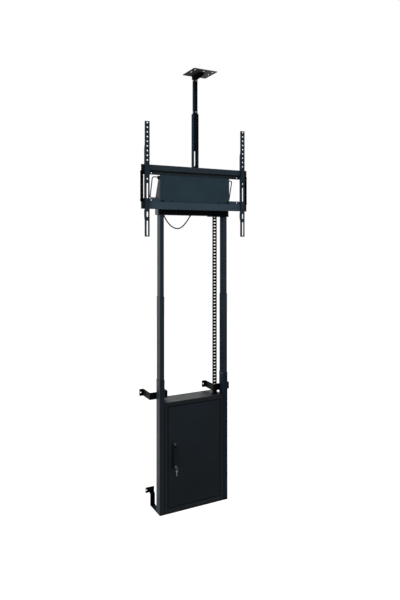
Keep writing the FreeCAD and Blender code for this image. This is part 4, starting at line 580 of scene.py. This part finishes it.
cover_sockets, mast_crosses, bracket_sockets, clamp_sockets, anchor_heads = [], [], [], [], []
for side in (-1, 1):
    cover_sockets += hex_socket((side * COVER_SCREW_X, COVER_FACE, COVER_SCREW_Z), FRONT, COVER_SOCKET)
    cover_sockets += hex_socket((side * SMALL_SCREW_X, COVER_FACE, COVER_SCREW_Z), FRONT, SMALL_SOCKET)
    for z in BRACKET_SCREW_Z:
        bracket_sockets += hex_socket((side * BRACKET_SCREW_X, BRACKET_FACE, z), BACK, BRACKET_SOCKET)
    head = (ANCHOR_X + side * ANCHOR_HALF, ANCHOR_FACE, ANCHOR_Z)
    anchor_heads.append(disc(head, FRONT, ANCHOR_HEAD, ANCHOR_HEAD_RISE, 16))
for z in MAST_SCREW_Z:
    mast_crosses += cross_recess((0, MAST_FRONT_FACE, z), FRONT, MAST_CROSS)
    mast_crosses += cross_recess((MAST_SIDE_FACE, MAST_SIDE_Y, z), LEFT, MAST_CROSS)
for z in CLAMP_Z:
    clamp_sockets += hex_socket((0, CLAMP_FACE, z), BACK, CLAMP_SOCKET)
add("cover_screw_sockets", mesh_of("cover screw sockets", cover_sockets), "carriage", "black_plastic")
add("mast_screw_recesses", mesh_of("mast screw recesses", mast_crosses), "mast", "black_plastic")
add("bracket_screw_sockets", mesh_of("bracket screw sockets", bracket_sockets), "base", "black_plastic")
add("clamp_bolt_sockets", mesh_of("clamp bolt sockets", clamp_sockets), "mast", "black_plastic")
add("anchor_screws", mesh_of("anchor screws", anchor_heads), "carriage", "black_screw")

# Studio: white floor and backdrop, soft light from the left and above
WHITE = (1.0, 1.0, 1.0, 1.0)
FLOOR_SIZE = 14.0
FLOOR_GREY = (0.50, 0.50, 0.50, 1.0)
FLOOR_LIFT = 0.84
FLOOR_GLOSS = 0.55
GLOSS_START, GLOSS_FULL = -0.3, 0.8
WORLD_FRONT_END, WORLD_BACK_START = -0.25, 0.35
WORLD_FRONT, WORLD_BACK, WORLD_LIGHT = 0.05, 0.85, 0.48
AIM = (0, 0, 1.2)


def studio_floor():
    """Grey to the light, white to the camera and, behind the stand, to reflections."""
    mesh = bpy.data.meshes.new("floor")
    half = FLOOR_SIZE / 2
    mesh.from_pydata([(-half, -half, 0), (half, -half, 0), (half, half, 0), (-half, half, 0)],
                     [], [(0, 1, 2, 3)])
    floor = bpy.data.objects.new("floor", mesh)
    scene.collection.objects.link(floor)
    s = Shader("floor white")
    grey = s.node("ShaderNodeBsdfDiffuse", {"Color": FLOOR_GREY})
    lift = s.node("ShaderNodeEmission", {"Color": WHITE, "Strength": FLOOR_LIFT})
    path = s.node("ShaderNodeLightPath")
    across = s.node("ShaderNodeSeparateXYZ", {0: s.place()}).outputs["Y"]
    share = s.ramp(across, GLOSS_START, GLOSS_FULL, 0.0, FLOOR_GLOSS)
    gloss = s.math("MULTIPLY", path.outputs["Is Glossy Ray"], share)
    seen = s.math("MAXIMUM", path.outputs["Is Camera Ray"], path.outputs["Is Transmission Ray"])
    seen = s.math("MAXIMUM", seen, gloss)
    none = s.node("ShaderNodeEmission", {"Strength": 0.0})
    extra = s.node("ShaderNodeMixShader", {0: seen, 1: none.outputs[0], 2: lift.outputs[0]})
    both = s.node("ShaderNodeAddShader", {0: grey.outputs[0], 1: extra.outputs[0]})
    s.node("ShaderNodeOutputMaterial", {"Surface": both.outputs[0]})
    mesh.materials.append(s.material)


def studio_world():
    """White to the camera; for reflections bright behind the stand and dim in front."""
    world = bpy.data.worlds.new("studio")
    scene.world = world
    world.use_nodes = True
    tree = world.node_tree
    tree.nodes.clear()
    coords = add_node(tree, "ShaderNodeTexCoord").outputs["Generated"]
    parts = add_node(tree, "ShaderNodeSeparateXYZ", {0: coords}).outputs
    behind = add_node(tree, "ShaderNodeMapRange", {
        "Value": parts["Y"], "From Min": WORLD_FRONT_END, "From Max": WORLD_BACK_START,
        "To Min": WORLD_FRONT, "To Max": WORLD_BACK}, interpolation_type="SMOOTHSTEP")
    path = add_node(tree, "ShaderNodeLightPath").outputs
    gloss = add_node(tree, "ShaderNodeMath", {
        0: path["Is Glossy Ray"], 1: path["Is Transmission Ray"]}, operation="MAXIMUM")
    soft = add_node(tree, "ShaderNodeMix", {0: gloss.outputs[0], 2: WORLD_LIGHT, 3: behind.outputs[0]})
    strength = add_node(tree, "ShaderNodeMix", {0: path["Is Camera Ray"], 2: soft.outputs[0], 3: 1.0})
    back = add_node(tree, "ShaderNodeBackground", {"Color": WHITE, "Strength": strength.outputs[0]})
    add_node(tree, "ShaderNodeOutputWorld", {"Surface": back.outputs[0]})


def lamp(name, place, size, power, gloss=True):
    """An area lamp aimed at the middle of the stand."""
    light = bpy.data.lights.new(name, "AREA")
    light.shape = "RECTANGLE"
    light.size, light.size_y = size
    light.energy = power
    lamp_object = bpy.data.objects.new(name, light)
    scene.collection.objects.link(lamp_object)
    lamp_object.location = place
    aim = Vector(AIM) - Vector(place)
    lamp_object.rotation_euler = aim.to_track_quat("-Z", "Y").to_euler()
    lamp_object.visible_glossy = gloss


studio_floor()
studio_world()
lamp("key", (-4.0, -1.0, 3.4), (2.2, 2.6), 90.0)
lamp("fill", (0.6, -4.4, 3.0), (2.4, 2.0), 26.0, gloss=False)
